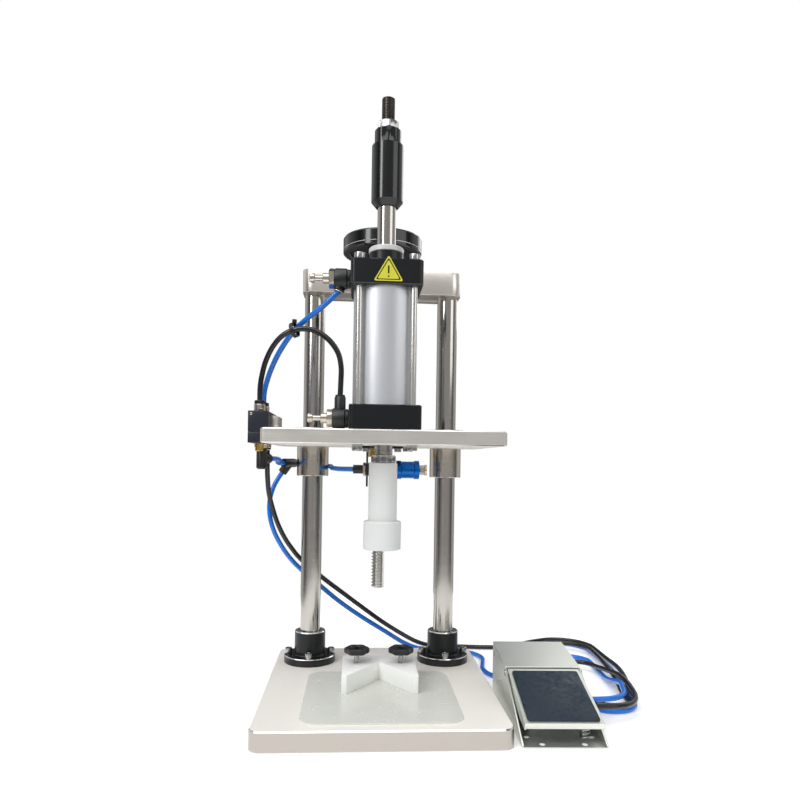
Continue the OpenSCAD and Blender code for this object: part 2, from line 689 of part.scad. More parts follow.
// Outer shape of the loose loops: a long ring with a narrow front end and a wide back end
coil_h = 13;
function arc(centre, r, from, to, n = 24) =
    [for (i = [0:n]) let (a = from + (to - from) * i / n) centre + r * [cos(a), sin(a)]];
module egg(front, front_r, back, back_r) {
    way = back - front;
    a = acos((front_r - back_r) / norm(way));
    translate(front) rotate(atan2(way[1], way[0]))
        polygon(concat(arc([0, 0], front_r, a, 360 - a), arc([norm(way), 0], back_r, -a, a)));
}
module hose_coil() {
    color("steelblue") at(foot_shift, 0, 0) linear_extrude(coil_h) difference() {
        egg([257, -52], 33, [272, 200], 50);
        egg([257, -48], 20, [254, 70], 17);
    }
}

// ---- foot valve ------------------------------------------------------------
pedal_front = [base_w / 2 + 47.5, -137, 0];
pedal_hinge_y = 92;
pedal_hinge_z = 43;
cover_l = 78;
module foot_valve_frame() { translate(pedal_front) rotate(-pedal_turn) children(); }
// Side wall outline in the foot valve's own length and height
module side_outline() {
    polygon([[0, 0], [pedal_l, 0], [pedal_l, pedal_h - sheet_t], [pedal_l - cover_l, pedal_h - 7 - sheet_t], [0, 3]]);
}
module pedal_tray() {
    color("silver") foot_valve_frame() difference() {
        union() {
            at(-pedal_w / 2, 0, 0) cube([pedal_w, pedal_l, sheet_t]);
            for (x = [-pedal_w / 2, pedal_w / 2 - sheet_t]) translate([x, 0, 0])
                rotate([90, 0, 90]) linear_extrude(sheet_t) side_outline();
        }
        for (s = sides) {
            at(s * 20.5, 7, -1) cylinder(d = 5.5, h = 4);
            at(s * 32, 24, -1) cylinder(d = 5.5, h = 4);
            at(s * 28, pedal_l - 8, -1) cylinder(d = 5.5, h = 4);
        }
        along_x(-pedal_w / 2 - 1, pedal_hinge_y, pedal_hinge_z) cylinder(d = 4, h = pedal_w + 2);
        for (y = ports_y) along_x(pedal_w / 2 - 3, y, port_z) cylinder(d = 10, h = 4);
    }
}
module pedal_cover() {
    color("silver") foot_valve_frame() {
        at(0, pedal_l - cover_l, pedal_h - 7 - sheet_t) rotate([atan(7 / cover_l), 0, 0])
            at(-pedal_w / 2, 0, 0) cube([pedal_w, cover_l, sheet_t]);
        at(-pedal_w / 2 + sheet_t, pedal_l - sheet_t, sheet_t) cube([pedal_w - 2 * sheet_t, sheet_t, pedal_h - 4]);
    }
}
valve_top_z = 25;
port_z = 19;
ports_y = [60, 80];
button_y = 76;
button_d = 8;
button_top = 39.8;
module pedal_valve() {
    color("lightgray") foot_valve_frame() difference() {
        at(-24, 50, sheet_t) cube([60, 42, valve_top_z - sheet_t]);
        for (y = ports_y) along_x(28, y, port_z) cylinder(d = 9, h = 12);
        at(0, button_y, 6) cylinder(d = button_d + 2 * run_gap, h = 30);
    }
}
module pedal_plunger() {
    color("goldenrod") foot_valve_frame() at(0, button_y, 10) cylinder(d = button_d, h = button_top - 10);
}
module pedal_fittings() {
    color([0.1, 0.1, 0.11]) foot_valve_frame() for (y = ports_y) {
        along_x(29, y, port_z) cylinder(d = 9, h = 13);
        along_x(41.5, y, port_z) cylinder(d = 11, h = 6.5);
    }
}
module pedal_pin() {
    color("silver") foot_valve_frame() along_x(-pedal_w / 2 - 1, pedal_hinge_y, pedal_hinge_z)
        cylinder(d = 4, h = pedal_w + 2);
}
spring_at = [24, 19];
spring_h = 23;
module pedal_spring() {
    color("silver") foot_valve_frame() at(spring_at[0], spring_at[1], sheet_t) ring(11, 8, spring_h);
}
// The pedal's own frame has its origin on the hinge axis; it slopes down to the front
pedal_slope = 15;
pedal_plate_w = pedal_w - 2 * sheet_t - 2;
treadle_l = 92;
module treadle_frame() {
    foot_valve_frame() translate([0, pedal_hinge_y, pedal_hinge_z]) rotate([pedal_slope, 0, 0]) children();
}
module pedal_plate() {
    color("silver") difference() {
        treadle_frame() {
            at(-pedal_plate_w / 2, -treadle_l, 2.5) cube([pedal_plate_w, treadle_l + 2, sheet_t]);
            for (x = [-pedal_plate_w / 2, pedal_plate_w / 2 - sheet_t]) at(x, -treadle_l, 0)
                rotate([90, 0, 90]) linear_extrude(sheet_t)
                    polygon([[0, -3], [0, 3], [treadle_l, 3], [treadle_l + 4, 0], [treadle_l, -5], [20, -6]]);
            at(-pedal_plate_w / 2, -treadle_l, -2) cube([pedal_plate_w, sheet_t, 5]);
        }
        foot_valve_frame() along_x(-pedal_w / 2 - 1, pedal_hinge_y, pedal_hinge_z)
            cylinder(d = 4 + 2 * run_gap, h = pedal_w + 2);
    }
}
module pedal_pad() {
    color([0.12, 0.13, 0.17]) treadle_frame()
        at(0, -treadle_l / 2 - 0.5, 2.5 + sheet_t) rounded_plate(70, treadle_l - 7, 1.5, 3);
}

base_plate();
base_mat();
foot_flanges();
columns();
top_beam();
frame_screws();
bearing_housing();
screw_bearings();
v_block();
clamp_studs();
left_knob();
right_knob();
lead_screw();
handwheel();
carriage_plate();
guide_bushes();
screw_nut();
carriage_screws();
lower_cap();
cylinder_tube();
upper_cap();
tie_rods();
bumper_ring();
piston_rod();
piston();
stroke_sleeve();
rod_nuts();
capping_head();
upper_controller();
upper_needle();
lower_controller();
lower_needle();
carriage_valve();
valve_rail();
valve_fittings();
silencers();
elbow_fitting();
tee_fitting();
hose_bracket();
bulkhead_fitting();
slide_valve();
slide_sleeve();
outlet_hose();
return_hose();
link_hoses();
supply_hose();
signal_hose();
hose_coil();
pedal_tray();
pedal_cover();
pedal_valve();
pedal_plunger();
pedal_fittings();
pedal_pin();
pedal_spring();
pedal_plate();
pedal_pad();
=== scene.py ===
"""Looks of a bench capping press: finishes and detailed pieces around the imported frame."""
import logging
import math
from dataclasses import dataclass, field
from enum import Enum
from typing import Callable, Optional, Sequence

import bmesh
import bpy
from mathutils import Matrix, Vector


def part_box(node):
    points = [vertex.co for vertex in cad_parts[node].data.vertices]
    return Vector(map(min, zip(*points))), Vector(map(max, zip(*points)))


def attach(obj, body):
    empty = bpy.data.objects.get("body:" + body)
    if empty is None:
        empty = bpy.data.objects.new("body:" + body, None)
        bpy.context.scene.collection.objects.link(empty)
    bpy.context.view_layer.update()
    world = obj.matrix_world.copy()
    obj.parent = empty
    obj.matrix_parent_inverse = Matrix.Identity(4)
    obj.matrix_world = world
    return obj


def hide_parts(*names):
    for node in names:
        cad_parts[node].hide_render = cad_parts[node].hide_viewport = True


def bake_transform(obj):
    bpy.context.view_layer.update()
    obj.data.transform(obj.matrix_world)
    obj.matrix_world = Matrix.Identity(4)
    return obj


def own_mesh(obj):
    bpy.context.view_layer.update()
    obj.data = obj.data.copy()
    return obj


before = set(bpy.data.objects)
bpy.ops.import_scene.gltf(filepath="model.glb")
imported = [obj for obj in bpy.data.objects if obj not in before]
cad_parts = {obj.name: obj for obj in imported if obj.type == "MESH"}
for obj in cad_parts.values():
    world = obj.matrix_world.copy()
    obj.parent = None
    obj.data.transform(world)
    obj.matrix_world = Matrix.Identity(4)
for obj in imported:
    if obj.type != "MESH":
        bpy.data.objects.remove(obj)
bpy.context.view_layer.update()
LOG = logging.getLogger("capping_press")
MM = 0.001
Point = Sequence[float]
Profile = Sequence[tuple[float, float]]


def box_mm(node: str) -> tuple[Vector, Vector]:
    """Gives a CAD node's corners in millimetres.

    Args:
        node: The CAD node's name.

    Returns:
        The lowest and the highest corner.
    """
    low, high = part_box(node)
    return low / MM, high / MM


def middle(node: str) -> Vector:
    """Gives the middle of a CAD node's box in millimetres."""
    low, high = box_mm(node)
    return (low + high) / 2


# ---- finishes ----


def linear(hex_colour: str) -> tuple[float, float, float, float]:
    """Turns an sRGB hex colour into a linear RGBA colour.

    Args:
        hex_colour: Six hex digits.

    Returns:
        Linear red, green, blue and an alpha of 1.
    """
    values = [int(hex_colour[i:i + 2], 16) / 255 for i in (0, 2, 4)]
    lin = [v / 12.92 if v <= 0.04045 else ((v + 0.055) / 1.055) ** 2.4 for v in values]
    return (lin[0], lin[1], lin[2], 1.0)


def add(tree: bpy.types.NodeTree, kind: str, settings: Optional[dict] = None,
        inputs: Optional[dict] = None) -> bpy.types.Node:
    """Adds a node, sets it and links it.

    Args:
        tree: The node tree.
        kind: The node's type name.
        settings: Attribute names with their values.
        inputs: Socket names or numbers with a value or the output socket to link.

    Returns:
        The new node.
    """
    node = tree.nodes.new(kind)
    for name, value in (settings or {}).items():
        setattr(node, name, value)
    for name, value in (inputs or {}).items():
        if isinstance(value, bpy.types.NodeSocket):
            tree.links.new(value, node.inputs[name])
        else:
            node.inputs[name].default_value = value
    return node


class Grain(Enum):
    """How a surface's fine pattern runs."""

    EVEN = "even"
    ALONG_X = "along_x"
    ALONG_Y = "along_y"
    ALONG_Z = "along_z"
    ROUND_Z = "round_z"
    ROUND_X = "round_x"


LONG_GRAIN = 45.0   # how much longer than wide a brushed or turned mark is


@dataclass(frozen=True)
class Finish:
    """One real finish. Sizes are in millimetres, colours are sRGB hex."""

    name: str
    colour: str
    metallic: float = 0.0
    roughness: float = 0.4
    ior: float = 1.5
    coat: float = 0.0
    grain: Grain = Grain.EVEN
    grain_mm: float = 1.0
    bump_mm: float = 0.01
    tone: float = 0.06
    gloss_shift: float = 0.06
    blotch_mm: float = 25.0
    transmission: float = 0.0
    sheen: float = 0.0
    anisotropic: float = 0.0

    def stretch(self) -> tuple[float, float, float]:
        """Gives the pattern's scale per metre along each axis."""
        fine = 1 / (self.grain_mm * MM)
        slow = fine / LONG_GRAIN
        return {
            Grain.EVEN: (fine, fine, fine),
            Grain.ALONG_X: (slow, fine, fine),
            Grain.ALONG_Y: (fine, slow, fine),
            Grain.ALONG_Z: (fine, fine, slow),
            Grain.ROUND_Z: (slow, slow, fine),
            Grain.ROUND_X: (fine, slow, slow),
        }[self.grain]

    def material(self) -> bpy.types.Material:
        """Makes the finish's material once, then gives it again.

        Returns:
            The material with its grain, tone and gloss variation.
        """
        label = self.name + "_finish"
        known = bpy.data.materials.get(label)
        if known:
            return known
        made = bpy.data.materials.new(label)
        made.use_nodes = True
        tree = made.node_tree
        tree.nodes.clear()
        place = add(tree, "ShaderNodeTexCoord")
        mapped = add(tree, "ShaderNodeMapping", None,
                     {"Vector": place.outputs["Object"], "Scale": self.stretch()})
        fine = add(tree, "ShaderNodeTexNoise", None,
                   {"Vector": mapped.outputs[0], "Scale": 1.0, "Detail": 3.0, "Roughness": 0.55})
        broad = add(tree, "ShaderNodeTexNoise", None,
                    {"Vector": place.outputs["Object"], "Scale": 1 / (self.blotch_mm * MM),
                     "Detail": 2.0, "Roughness": 0.5})
        both = add(tree, "ShaderNodeMix", {"data_type": "FLOAT"},
                   {0: 0.4, 2: fine.outputs["Fac"], 3: broad.outputs["Fac"]})
        base = linear(self.colour)
        dark = tuple(c * (1 - self.tone) for c in base[:3]) + (1.0,)
        light = tuple(min(1.0, c * (1 + self.tone)) for c in base[:3]) + (1.0,)
        tone = add(tree, "ShaderNodeMix", {"data_type": "RGBA"},
                   {0: both.outputs[0], 6: dark, 7: light})
        gloss = add(tree, "ShaderNodeMapRange", None, {0: both.outputs[0], 1: 0.3, 2: 0.7,
                                                       3: max(0.02, self.roughness - self.gloss_shift),
                                                       4: self.roughness + self.gloss_shift})
        bump = add(tree, "ShaderNodeBump", None,
                   {"Height": fine.outputs["Fac"], "Distance": self.bump_mm * MM, "Strength": 1.0})
        shader = add(tree, "ShaderNodeBsdfPrincipled", None,
                     {"Base Color": tone.outputs[2], "Metallic": self.metallic,
                      "Roughness": gloss.outputs[0], "Coat Weight": self.coat,
                      "Coat Roughness": 0.08, "Transmission Weight": self.transmission,
                      "Sheen Weight": self.sheen, "Anisotropic": self.anisotropic,
                      "Normal": bump.outputs[0]})
        if not self.metallic:
            shader.inputs["IOR"].default_value = self.ior
        add(tree, "ShaderNodeOutputMaterial", None, {"Surface": shader.outputs[0]})
        return made


# Bead-blasted plate: tiny dents scatter light, so it reads pale and even, without streaks.
BLASTED = Finish("blasted_aluminium", "FAF6F0", 0.25, 0.4, grain_mm=1.1, bump_mm=0.008, tone=0.03,
                 gloss_shift=0.04, blotch_mm=60)
# Milled plate edge: cutter marks run along the edge and stretch highlights sideways.
MILLED_EDGE = Finish("milled_aluminium_edge", "F8F3EC", 1.0, 0.34, grain=Grain.ALONG_X, grain_mm=0.9,
                     bump_mm=0.006, tone=0.07, blotch_mm=40)
# Base plate edge: the same milled aluminium drawn in a darker grey, a painted reflection of the bench.
BASE_EDGE_PAINTED_REFLECTION = Finish("base_edge_painted_reflection", "B9B3AC", 1.0, 0.36, grain=Grain.ALONG_X, grain_mm=0.9,
                     bump_mm=0.006, tone=0.07, blotch_mm=40)
# Chamfer cut last with a sharp tool: the brightest line on the plate.
BRIGHT_CHAMFER = Finish("diamond_cut_chamfer", "EDEDED", 1.0, 0.16, grain_mm=3, bump_mm=0.0005,
                        tone=0.02)
# Brushed bar: long fine scratches, drawn as wide as they need to show.
BRUSHED_BAR = Finish("brushed_aluminium", "F3EBE4", 1.0, 0.33, grain=Grain.ALONG_X, grain_mm=0.8,
                     bump_mm=0.006, tone=0.08, blotch_mm=50)
# Drawn tube, satin anodised: a soft, wide, almost white highlight down its length.
SATIN_TUBE = Finish("satin_anodised_tube", "D6D9DD", 0.85, 0.42, grain=Grain.ALONG_Z, grain_mm=1.0,
                    bump_mm=0.004, tone=0.03, gloss_shift=0.03, blotch_mm=80)
# Ground and hard-chromed bar: mirror-like, with faint rings from grinding.
HARD_CHROME = Finish("hard_chrome", "BDB9B3", 1.0, 0.16, grain=Grain.ROUND_Z, grain_mm=1.2,
                     bump_mm=0.0003, tone=0.03, gloss_shift=0.03, blotch_mm=90)
# Turned bearing steel: warm grey with fine rings.
BUSH_STEEL = Finish("turned_bearing_steel", "CFC6BB", 1.0, 0.2, grain=Grain.ROUND_Z, grain_mm=1.0,
                    bump_mm=0.001, tone=0.05, gloss_shift=0.05)
# Turned and zinc-plated steel screws: bright, slightly blue, soft highlights.
BRIGHT_STEEL = Finish("zinc_plated_steel", "B2B1B0", 1.0, 0.26, grain_mm=1.5, bump_mm=0.0008, tone=0.06)
STAINLESS_STUD = Finish("stainless_thread", "C9C7C3", 1.0, 0.2, grain=Grain.ROUND_Z, grain_mm=1.0,
                        bump_mm=0.001, tone=0.05)
# Drawn tie rod: light steel with faint lines along its length.
TIE_STEEL = Finish("drawn_tie_rod", "D9D6D1", 1.0, 0.24, grain=Grain.ALONG_Z, grain_mm=1.2,
                   bump_mm=0.0003, tone=0.04)
# Nickel-plated brass: a warm mirror.
NICKEL = Finish("nickel_plated_brass", "D2CABF", 1.0, 0.14, grain_mm=1.4, bump_mm=0.0007, tone=0.04)
# Blackened high-strength stud: oil-dark steel with bright crests only where light catches it.
DARK_STUD = Finish("oil_blackened_steel", "57534F", 1.0, 0.3, grain=Grain.ROUND_Z, grain_mm=1.0,
                   bump_mm=0.001, tone=0.1)
BRASS = Finish("turned_brass", "C9A75E", 1.0, 0.24, grain_mm=1.2, bump_mm=0.004, tone=0.08)
# Black anodised aluminium: the dyed oxide is hard and semi-gloss, with a faint metallic haze.
BLACK_ANODISED = Finish("black_anodised", "0E1114", 0.2, 0.34, grain_mm=1.0, bump_mm=0.008, tone=0.12,
                        gloss_shift=0.05, blotch_mm=35)
GLOSS_BLACK = Finish("gloss_black_anodised", "0C0E11", 0.3, 0.2, coat=0.5, grain=Grain.ROUND_Z,
                     grain_mm=1.1, bump_mm=0.0005, tone=0.1, gloss_shift=0.03)
# Grey on the handwheel's web and hub faces: painted reflection on a wheel that is black anodised all
# over.
WEB_PAINTED_REFLECTION = Finish("wheel_web_painted_reflection", "4A4A4A", 0.7, 0.42, grain=Grain.ROUND_Z, grain_mm=0.9,
                   bump_mm=0.006, tone=0.08)
# Moulded nylon: fine spark-eroded texture from the mould.
NYLON = Finish("moulded_nylon", "0D0F13", 0.0, 0.42, 1.53, grain_mm=0.7, bump_mm=0.015, tone=0.12)
VALVE_PAINT = Finish("painted_valve_body", "1A2029", 0.0, 0.38, 1.5, grain_mm=0.8, bump_mm=0.012,
                     tone=0.1)
# Machined acetal: dense white plastic with faint tool marks and a waxy gloss.
ACETAL = Finish("machined_acetal", "DCDEDD", 0.0, 0.34, 1.48, grain=Grain.ROUND_Z, grain_mm=0.9,
                bump_mm=0.003, tone=0.02, gloss_shift=0.05, blotch_mm=30)
ACETAL_BLOCK = Finish("milled_acetal", "F3F4F1", 0.0, 0.36, 1.48, grain=Grain.ALONG_X, grain_mm=0.9,
                      bump_mm=0.003, tone=0.02, gloss_shift=0.05, blotch_mm=30)
# Silicone sheet: milky, half clear, soft gloss.
CLEAR_MAT = Finish("silicone_sheet", "D9DBD4", 0.0, 0.24, 1.41, grain_mm=3.0, bump_mm=0.001, tone=0.015,
                   transmission=0.12)
# Extruded polyurethane tube: smooth, slightly see-through, with a sharp line of light.
BLUE_TUBE = Finish("blue_polyurethane", "0C70D6", 0.0, 0.22, 1.5, coat=0.2, grain_mm=3, bump_mm=0.004,
                   tone=0.06, gloss_shift=0.05, blotch_mm=40)
BLACK_TUBE = Finish("black_polyurethane", "0C0D10", 0.0, 0.26, 1.5, coat=0.15, grain_mm=3, bump_mm=0.004,
                    tone=0.1, gloss_shift=0.05, blotch_mm=40)
BLUE_ANODISED = Finish("blue_anodised", "0F63B8", 0.75, 0.24, grain=Grain.ROUND_X, grain_mm=0.9,
                       bump_mm=0.001, tone=0.06)
# Folded stainless sheet with a fine ground surface.
SHEET_STEEL = Finish("ground_stainless_sheet", "DDE1DA", 0.85, 0.36, grain=Grain.ALONG_X, grain_mm=0.8,
                     bump_mm=0.004, tone=0.06, blotch_mm=45)
CAST_BODY = Finish("die_cast_body", "B9BABB", 1.0, 0.48, grain_mm=1.0, bump_mm=0.03, tone=0.08)
# Rubber sheet: matt blue-black with scuffs that dull it in patches.
TREAD = Finish("tread_rubber", "0E2130", 0.0, 0.55, 1.5, grain_mm=5.0, bump_mm=0.0, tone=0.95,
               gloss_shift=0.3, blotch_mm=24)
LABEL_YELLOW = Finish("printed_vinyl_yellow", "D6D23C", 0.0, 0.4, 1.5, grain_mm=1.0, bump_mm=0.002,
                      tone=0.03)
LABEL_BLACK = Finish("printed_vinyl_black", "1B1B16", 0.0, 0.4, 1.5, grain_mm=1.0, bump_mm=0.002,
                     tone=0.05)
TABLE_WHITE = Finish("opal_light_table", "F7F7F7", 0.0, 0.8, 1.45, grain_mm=6, bump_mm=0.0, tone=0.002,
                     gloss_shift=0.02, blotch_mm=400)


# ---- mesh tools ----

UP = (0.0, 0.0, 1.0)
RIGHT = (1.0, 0.0, 0.0)
LEFT = (-1.0, 0.0, 0.0)
DOWN = (0.0, 0.0, -1.0)
SIDES = (-1, 1)


def cube(size: Vector) -> bmesh.types.BMesh:
    """Makes a sharp block of a size about the origin."""
    part = bmesh.new()
    bmesh.ops.create_cube(part, size=1.0)
    bmesh.ops.scale(part, vec=size, verts=part.verts)
    return part


def four_round(x: float, y: float, z: float, ring: float, start: float = 0.0) -> list[Point]:
    """Gives four spots on a circle, a quarter turn apart.

    Args:
        x: The circle's middle along X.
        y: The circle's middle along Y.
        z: The spots' height.
        ring: The circle's diameter.
        start: The first spot's angle in radians.

    Returns:
        The four spots.
    """
    angles = [start + k * math.pi / 2 for k in range(4)]
    return [(x + math.cos(a) * ring / 2, y + math.sin(a) * ring / 2, z) for a in angles]


class Shape:
    """A mesh in millimetres that grows from bmesh operators and then becomes a piece."""

    def __init__(self) -> None:
        """Starts an empty mesh."""
        self.bm = bmesh.new()

    def place(self, part: bmesh.types.BMesh, at: Point = (0, 0, 0), along: Point = UP,
              finish: Optional[int] = 0) -> "Shape":
        """Puts a part into the shape.

        Args:
            part: A mesh made about the origin with its axis along Z. It is freed.
            at: Where the part's origin goes.
            along: The direction that the part's Z axis takes.
            finish: The part's finish number, or None to keep its own numbers.

        Returns:
            The shape itself.
        """
        bmesh.ops.remove_doubles(part, verts=part.verts, dist=1e-4)
        bmesh.ops.dissolve_degenerate(part, edges=part.edges, dist=1e-5)
        bmesh.ops.recalc_face_normals(part, faces=part.faces)
        way = Vector(along).normalized()
        turn = Matrix.Identity(4) if way.z > 0.99999 else way.to_track_quat("Z",
                                                                            "Y").to_matrix().to_4x4()
        bmesh.ops.transform(part, matrix=Matrix.Translation(Vector(at)) @ turn, verts=part.verts)
        if finish is not None:
            for face in part.faces:
                face.material_index = finish
        mesh = bpy.data.meshes.new("part")
        part.to_mesh(mesh)
        part.free()
        self.bm.from_mesh(mesh)
        bpy.data.meshes.remove(mesh)
        return self

    def lathe(self, profile: Profile, at: Point = (0, 0, 0), along: Point = UP, finish: int = 0,
              steps: int = 48, hexed: Sequence[float] = (), knurl: Sequence[float] = ()) -> "Shape":
        """Spins a profile into a turned part.

        Args:
            profile: Radius and height of each corner, from one end to the other.
            at: Where the axis starts.
            along: The axis.
            finish: The finish number.
            steps: How many sides the round has, a multiple of 12.
            hexed: Radii in the profile that become the half width of a hexagon.
            knurl: Lowest height, highest height and depth of a knurled band.

        Returns:
            The shape itself.
        """
        part = bmesh.new()
        verts = [part.verts.new((r, 0.0, z)) for r, z in profile]
        edges = [part.edges.new(pair) for pair in zip(verts, verts[1:])]
        bmesh.ops.spin(part, geom=verts + edges, cent=(0, 0, 0), axis=UP, dvec=(0, 0, 0),
                       angle=math.tau, steps=steps, use_merge=True, use_duplicate=False)
        step = math.tau / steps
        for v in part.verts:
            r = math.hypot(v.co.x, v.co.y)
            a = math.atan2(v.co.y, v.co.x)
            for half_width in hexed:
                if abs(r - half_width) < 1e-3:
                    off = (a + math.pi / 6) % (math.pi / 3) - math.pi / 6
                    v.co.x, v.co.y = v.co.x / math.cos(off), v.co.y / math.cos(off)
            if knurl and knurl[0] <= v.co.z <= knurl[1] and r > 0.5 and round(a / step) % 2:
                v.co.x, v.co.y = v.co.x * (1 - knurl[2] / r), v.co.y * (1 - knurl[2] / r)
        return self.place(part, at, along, finish)

    def box(self, low: Point, high: Point, bevel: float = 0.4, segments: int = 2,
            finish: int = 0) -> "Shape":
        """Adds a block with eased edges.

        Args:
            low: The lowest corner.
            high: The highest corner.
            bevel: The edges' radius.
            segments: The edges' steps.
            finish: The finish number.

        Returns:
            The shape itself.
        """
        part = cube(Vector(high) - Vector(low))
        bmesh.ops.bevel(part, geom=part.edges[:], offset=bevel, segments=segments, profile=0.5,
                        affect="EDGES", material=-1)
        return self.place(part, (Vector(low) + Vector(high)) / 2, UP, finish)

    def plate(self, low: Point, high: Point, corner: float, top: float, bottom: float,
              edge_finish: int = 1, side_finish: int = 2) -> "Shape":
        """Adds a plate with round corners and a chamfer round its top.

        Args:
            low: The lowest corner.
            high: The highest corner.
            corner: The corners' radius.
            top: Width of the chamfer round the top.
            bottom: Width of the chamfer round the underside.
            edge_finish: Finish number of the chamfers.
            side_finish: Finish number of the narrow sides.

        Returns:
            The shape itself.
        """
        size = Vector(high) - Vector(low)
        part = cube(size)
        uprights = [e for e in part.edges if abs(e.verts[0].co.z - e.verts[1].co.z) > size.z / 2]
        bmesh.ops.bevel(part, geom=uprights, offset=corner, segments=14, profile=0.5,
                        affect="EDGES", material=-1)
        part.normal_update()
        for face in part.faces:
            if abs(face.normal.z) < 0.5:
                face.material_index = side_finish
        for level, width in ((size.z / 2, top), (-size.z / 2, bottom)):
            rim = [e for e in part.edges if all(abs(v.co.z - level) < 1e-4 for v in e.verts)
                   and len(e.link_faces) == 2 and e.calc_face_angle(0) > 1]
            bmesh.ops.bevel(part, geom=rim, offset=width, segments=1, profile=0.5,
                            affect="EDGES", material=edge_finish)
        return self.place(part, (Vector(low) + Vector(high)) / 2, UP, None)

    def nut(self, across: float, bore: float, height: float, at: Point, along: Point = UP,
            finish: int = 0) -> "Shape":
        """Adds a hexagon nut with chamfered corners."""
        edge = across * 0.06
        return self.lathe([(bore, 0), (across / 2 - 0.3, 0), (across / 2, edge),
                           (across / 2, height - edge), (across / 2 - 0.3, height), (bore, height),
                           (bore, 0)], at, along, finish, 48, [across / 2])

    def cap_screw(self, head_d: float, head_h: float, socket: float, at: Point, along: Point = UP,
                  finish: int = 0, washer: float = 0.0) -> "Shape":
        """Adds a socket head screw with a knurled head, standing on a washer.

        Args:
            head_d: The head's diameter.
            head_h: The head's height.
            socket: Width across the hexagon socket.
            at: Middle of the head's or the washer's underside.
            along: The way the head faces.
            finish: The finish number.
            washer: The washer's diameter, or 0 for none.

        Returns:
            The shape itself.
        """
        lift = 0.0
        base = Vector(at)
        way = Vector(along).normalized()
        if washer:
            lift = 1.0
            self.lathe([(head_d * 0.3, 0), (washer / 2, 0), (washer / 2, lift), (head_d * 0.3, lift)],
                       base, along, finish)
        r = head_d / 2
        return self.lathe([(0, 0), (r - 0.2, 0), (r, 0.3), (r, head_h - 0.8), (r - 0.25, head_h - 0.25),
                           (r - 0.7, head_h), (socket / 2 + 0.3, head_h), (socket / 2, head_h - 0.3),
                           (socket / 2, head_h * 0.45), (0, head_h * 0.42)],
                          base + way * lift, along, finish, 48, [socket / 2], (0.2, head_h - 0.7, 0.14))

    def thread(self, outer: float, pitch: float, length: float, at: Point, along: Point = UP,
               finish: int = 0, depth: float = 0.6, steps: int = 20) -> "Shape":
        """Adds a threaded bar, cut flat at both ends.

        Args:
            outer: The thread's outer diameter.
            pitch: Distance from one crest to the next.
            length: The bar's length.
            at: Where the bar starts.
            along: The bar's axis.
            finish: The finish number.
            depth: Thread depth as a share of the pitch.
            steps: Sides to a turn.

        Returns:
            The shape itself.
        """
        part = bmesh.new()
        top, root = outer / 2, outer / 2 - depth * pitch
        corners = [(root, 0.0), (top, 0.34), (top, 0.5), (root, 0.84), (root, 1.0)]
        verts = [part.verts.new((r, 0.0, (z - 1.5) * pitch)) for r, z in corners]
        edges = [part.edges.new(pair) for pair in zip(verts, verts[1:])]
        turns = math.ceil(length / pitch) + 2
        bmesh.ops.spin(part, geom=verts + edges, cent=(0, 0, 0), axis=UP, dvec=(0, 0, pitch / steps),
                       angle=math.tau * turns, steps=steps * turns, use_merge=False,
                       use_duplicate=False)
        bmesh.ops.remove_doubles(part, verts=part.verts, dist=1e-3)
        for height, way in ((0.0, -1.0), (length, 1.0)):
            bmesh.ops.bisect_plane(part, geom=part.verts[:] + part.edges[:] + part.faces[:], dist=1e-5,
                                   plane_co=(0, 0, height), plane_no=(0, 0, way), clear_outer=True)
            rim = [e for e in part.edges if e.is_boundary and all(abs(v.co.z - height) < 1e-3
                                                                  for v in e.verts)]
            bmesh.ops.edgeloop_fill(part, edges=rim)
        return self.place(part, at, along, finish)

    def rod(self, points: Sequence[Vector], radius: float, sides: int = 12, finish: int = 0,
            closed: bool = False) -> "Shape":
        """Adds a round bar or tube along a line.

        Args:
            points: The centre line.
            radius: The bar's radius.
            sides: Sides of its round.
            finish: The finish number.
            closed: Whether its ends join.

        Returns:
            The shape itself.
        """
        curve = bpy.data.curves.new("line", "CURVE")
        curve.dimensions = "3D"
        curve.bevel_depth = radius
        curve.bevel_resolution = sides // 4 - 1
        curve.use_fill_caps = not closed
        line = curve.splines.new("POLY")
        line.points.add(len(points) - 1)
        line.use_cyclic_u = closed
        for spot, p in zip(line.points, points):
            spot.co = (p[0], p[1], p[2], 1.0)
        holder = bpy.data.objects.new("line", curve)
        mesh = bpy.data.meshes.new_from_object(holder)
        part = bmesh.new()
        part.from_mesh(mesh)
        bpy.data.objects.remove(holder)
        bpy.data.curves.remove(curve)
        bpy.data.meshes.remove(mesh)
        return self.place(part, (0, 0, 0), UP, finish)

    def done(self, name: str, body: str, slot: str, finishes: Sequence[Finish],
             nodes: Sequence[str] = (), smooth: float = 34.0) -> bpy.types.Object:
        """Makes the shape a piece that rides on a body.

        Args:
            name: The piece's name.
            body: The CAD body it moves with.
            slot: Not used.
            finishes: Its finishes, by number.
            nodes: CAD nodes that it stands for.
            smooth: Edges sharper than this many degrees stay crisp.

        Returns:
            The piece.
        """
        bmesh.ops.scale(self.bm, vec=(MM, MM, MM), verts=self.bm.verts)
        mesh = bpy.data.meshes.new(name)
        self.bm.to_mesh(mesh)
        self.bm.free()
        for finish in finishes:
            mesh.materials.append(finish.material())
        mesh.shade_smooth()
        mesh.set_sharp_from_angle(angle=math.radians(smooth))
        piece = bpy.data.objects.new(name, mesh)
        bpy.context.scene.collection.objects.link(piece)
        if body:
            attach(piece, body)
        if nodes:
            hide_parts(*nodes)
        LOG.info("%s: %d faces on %s", name, len(mesh.polygons), body)
        return piece


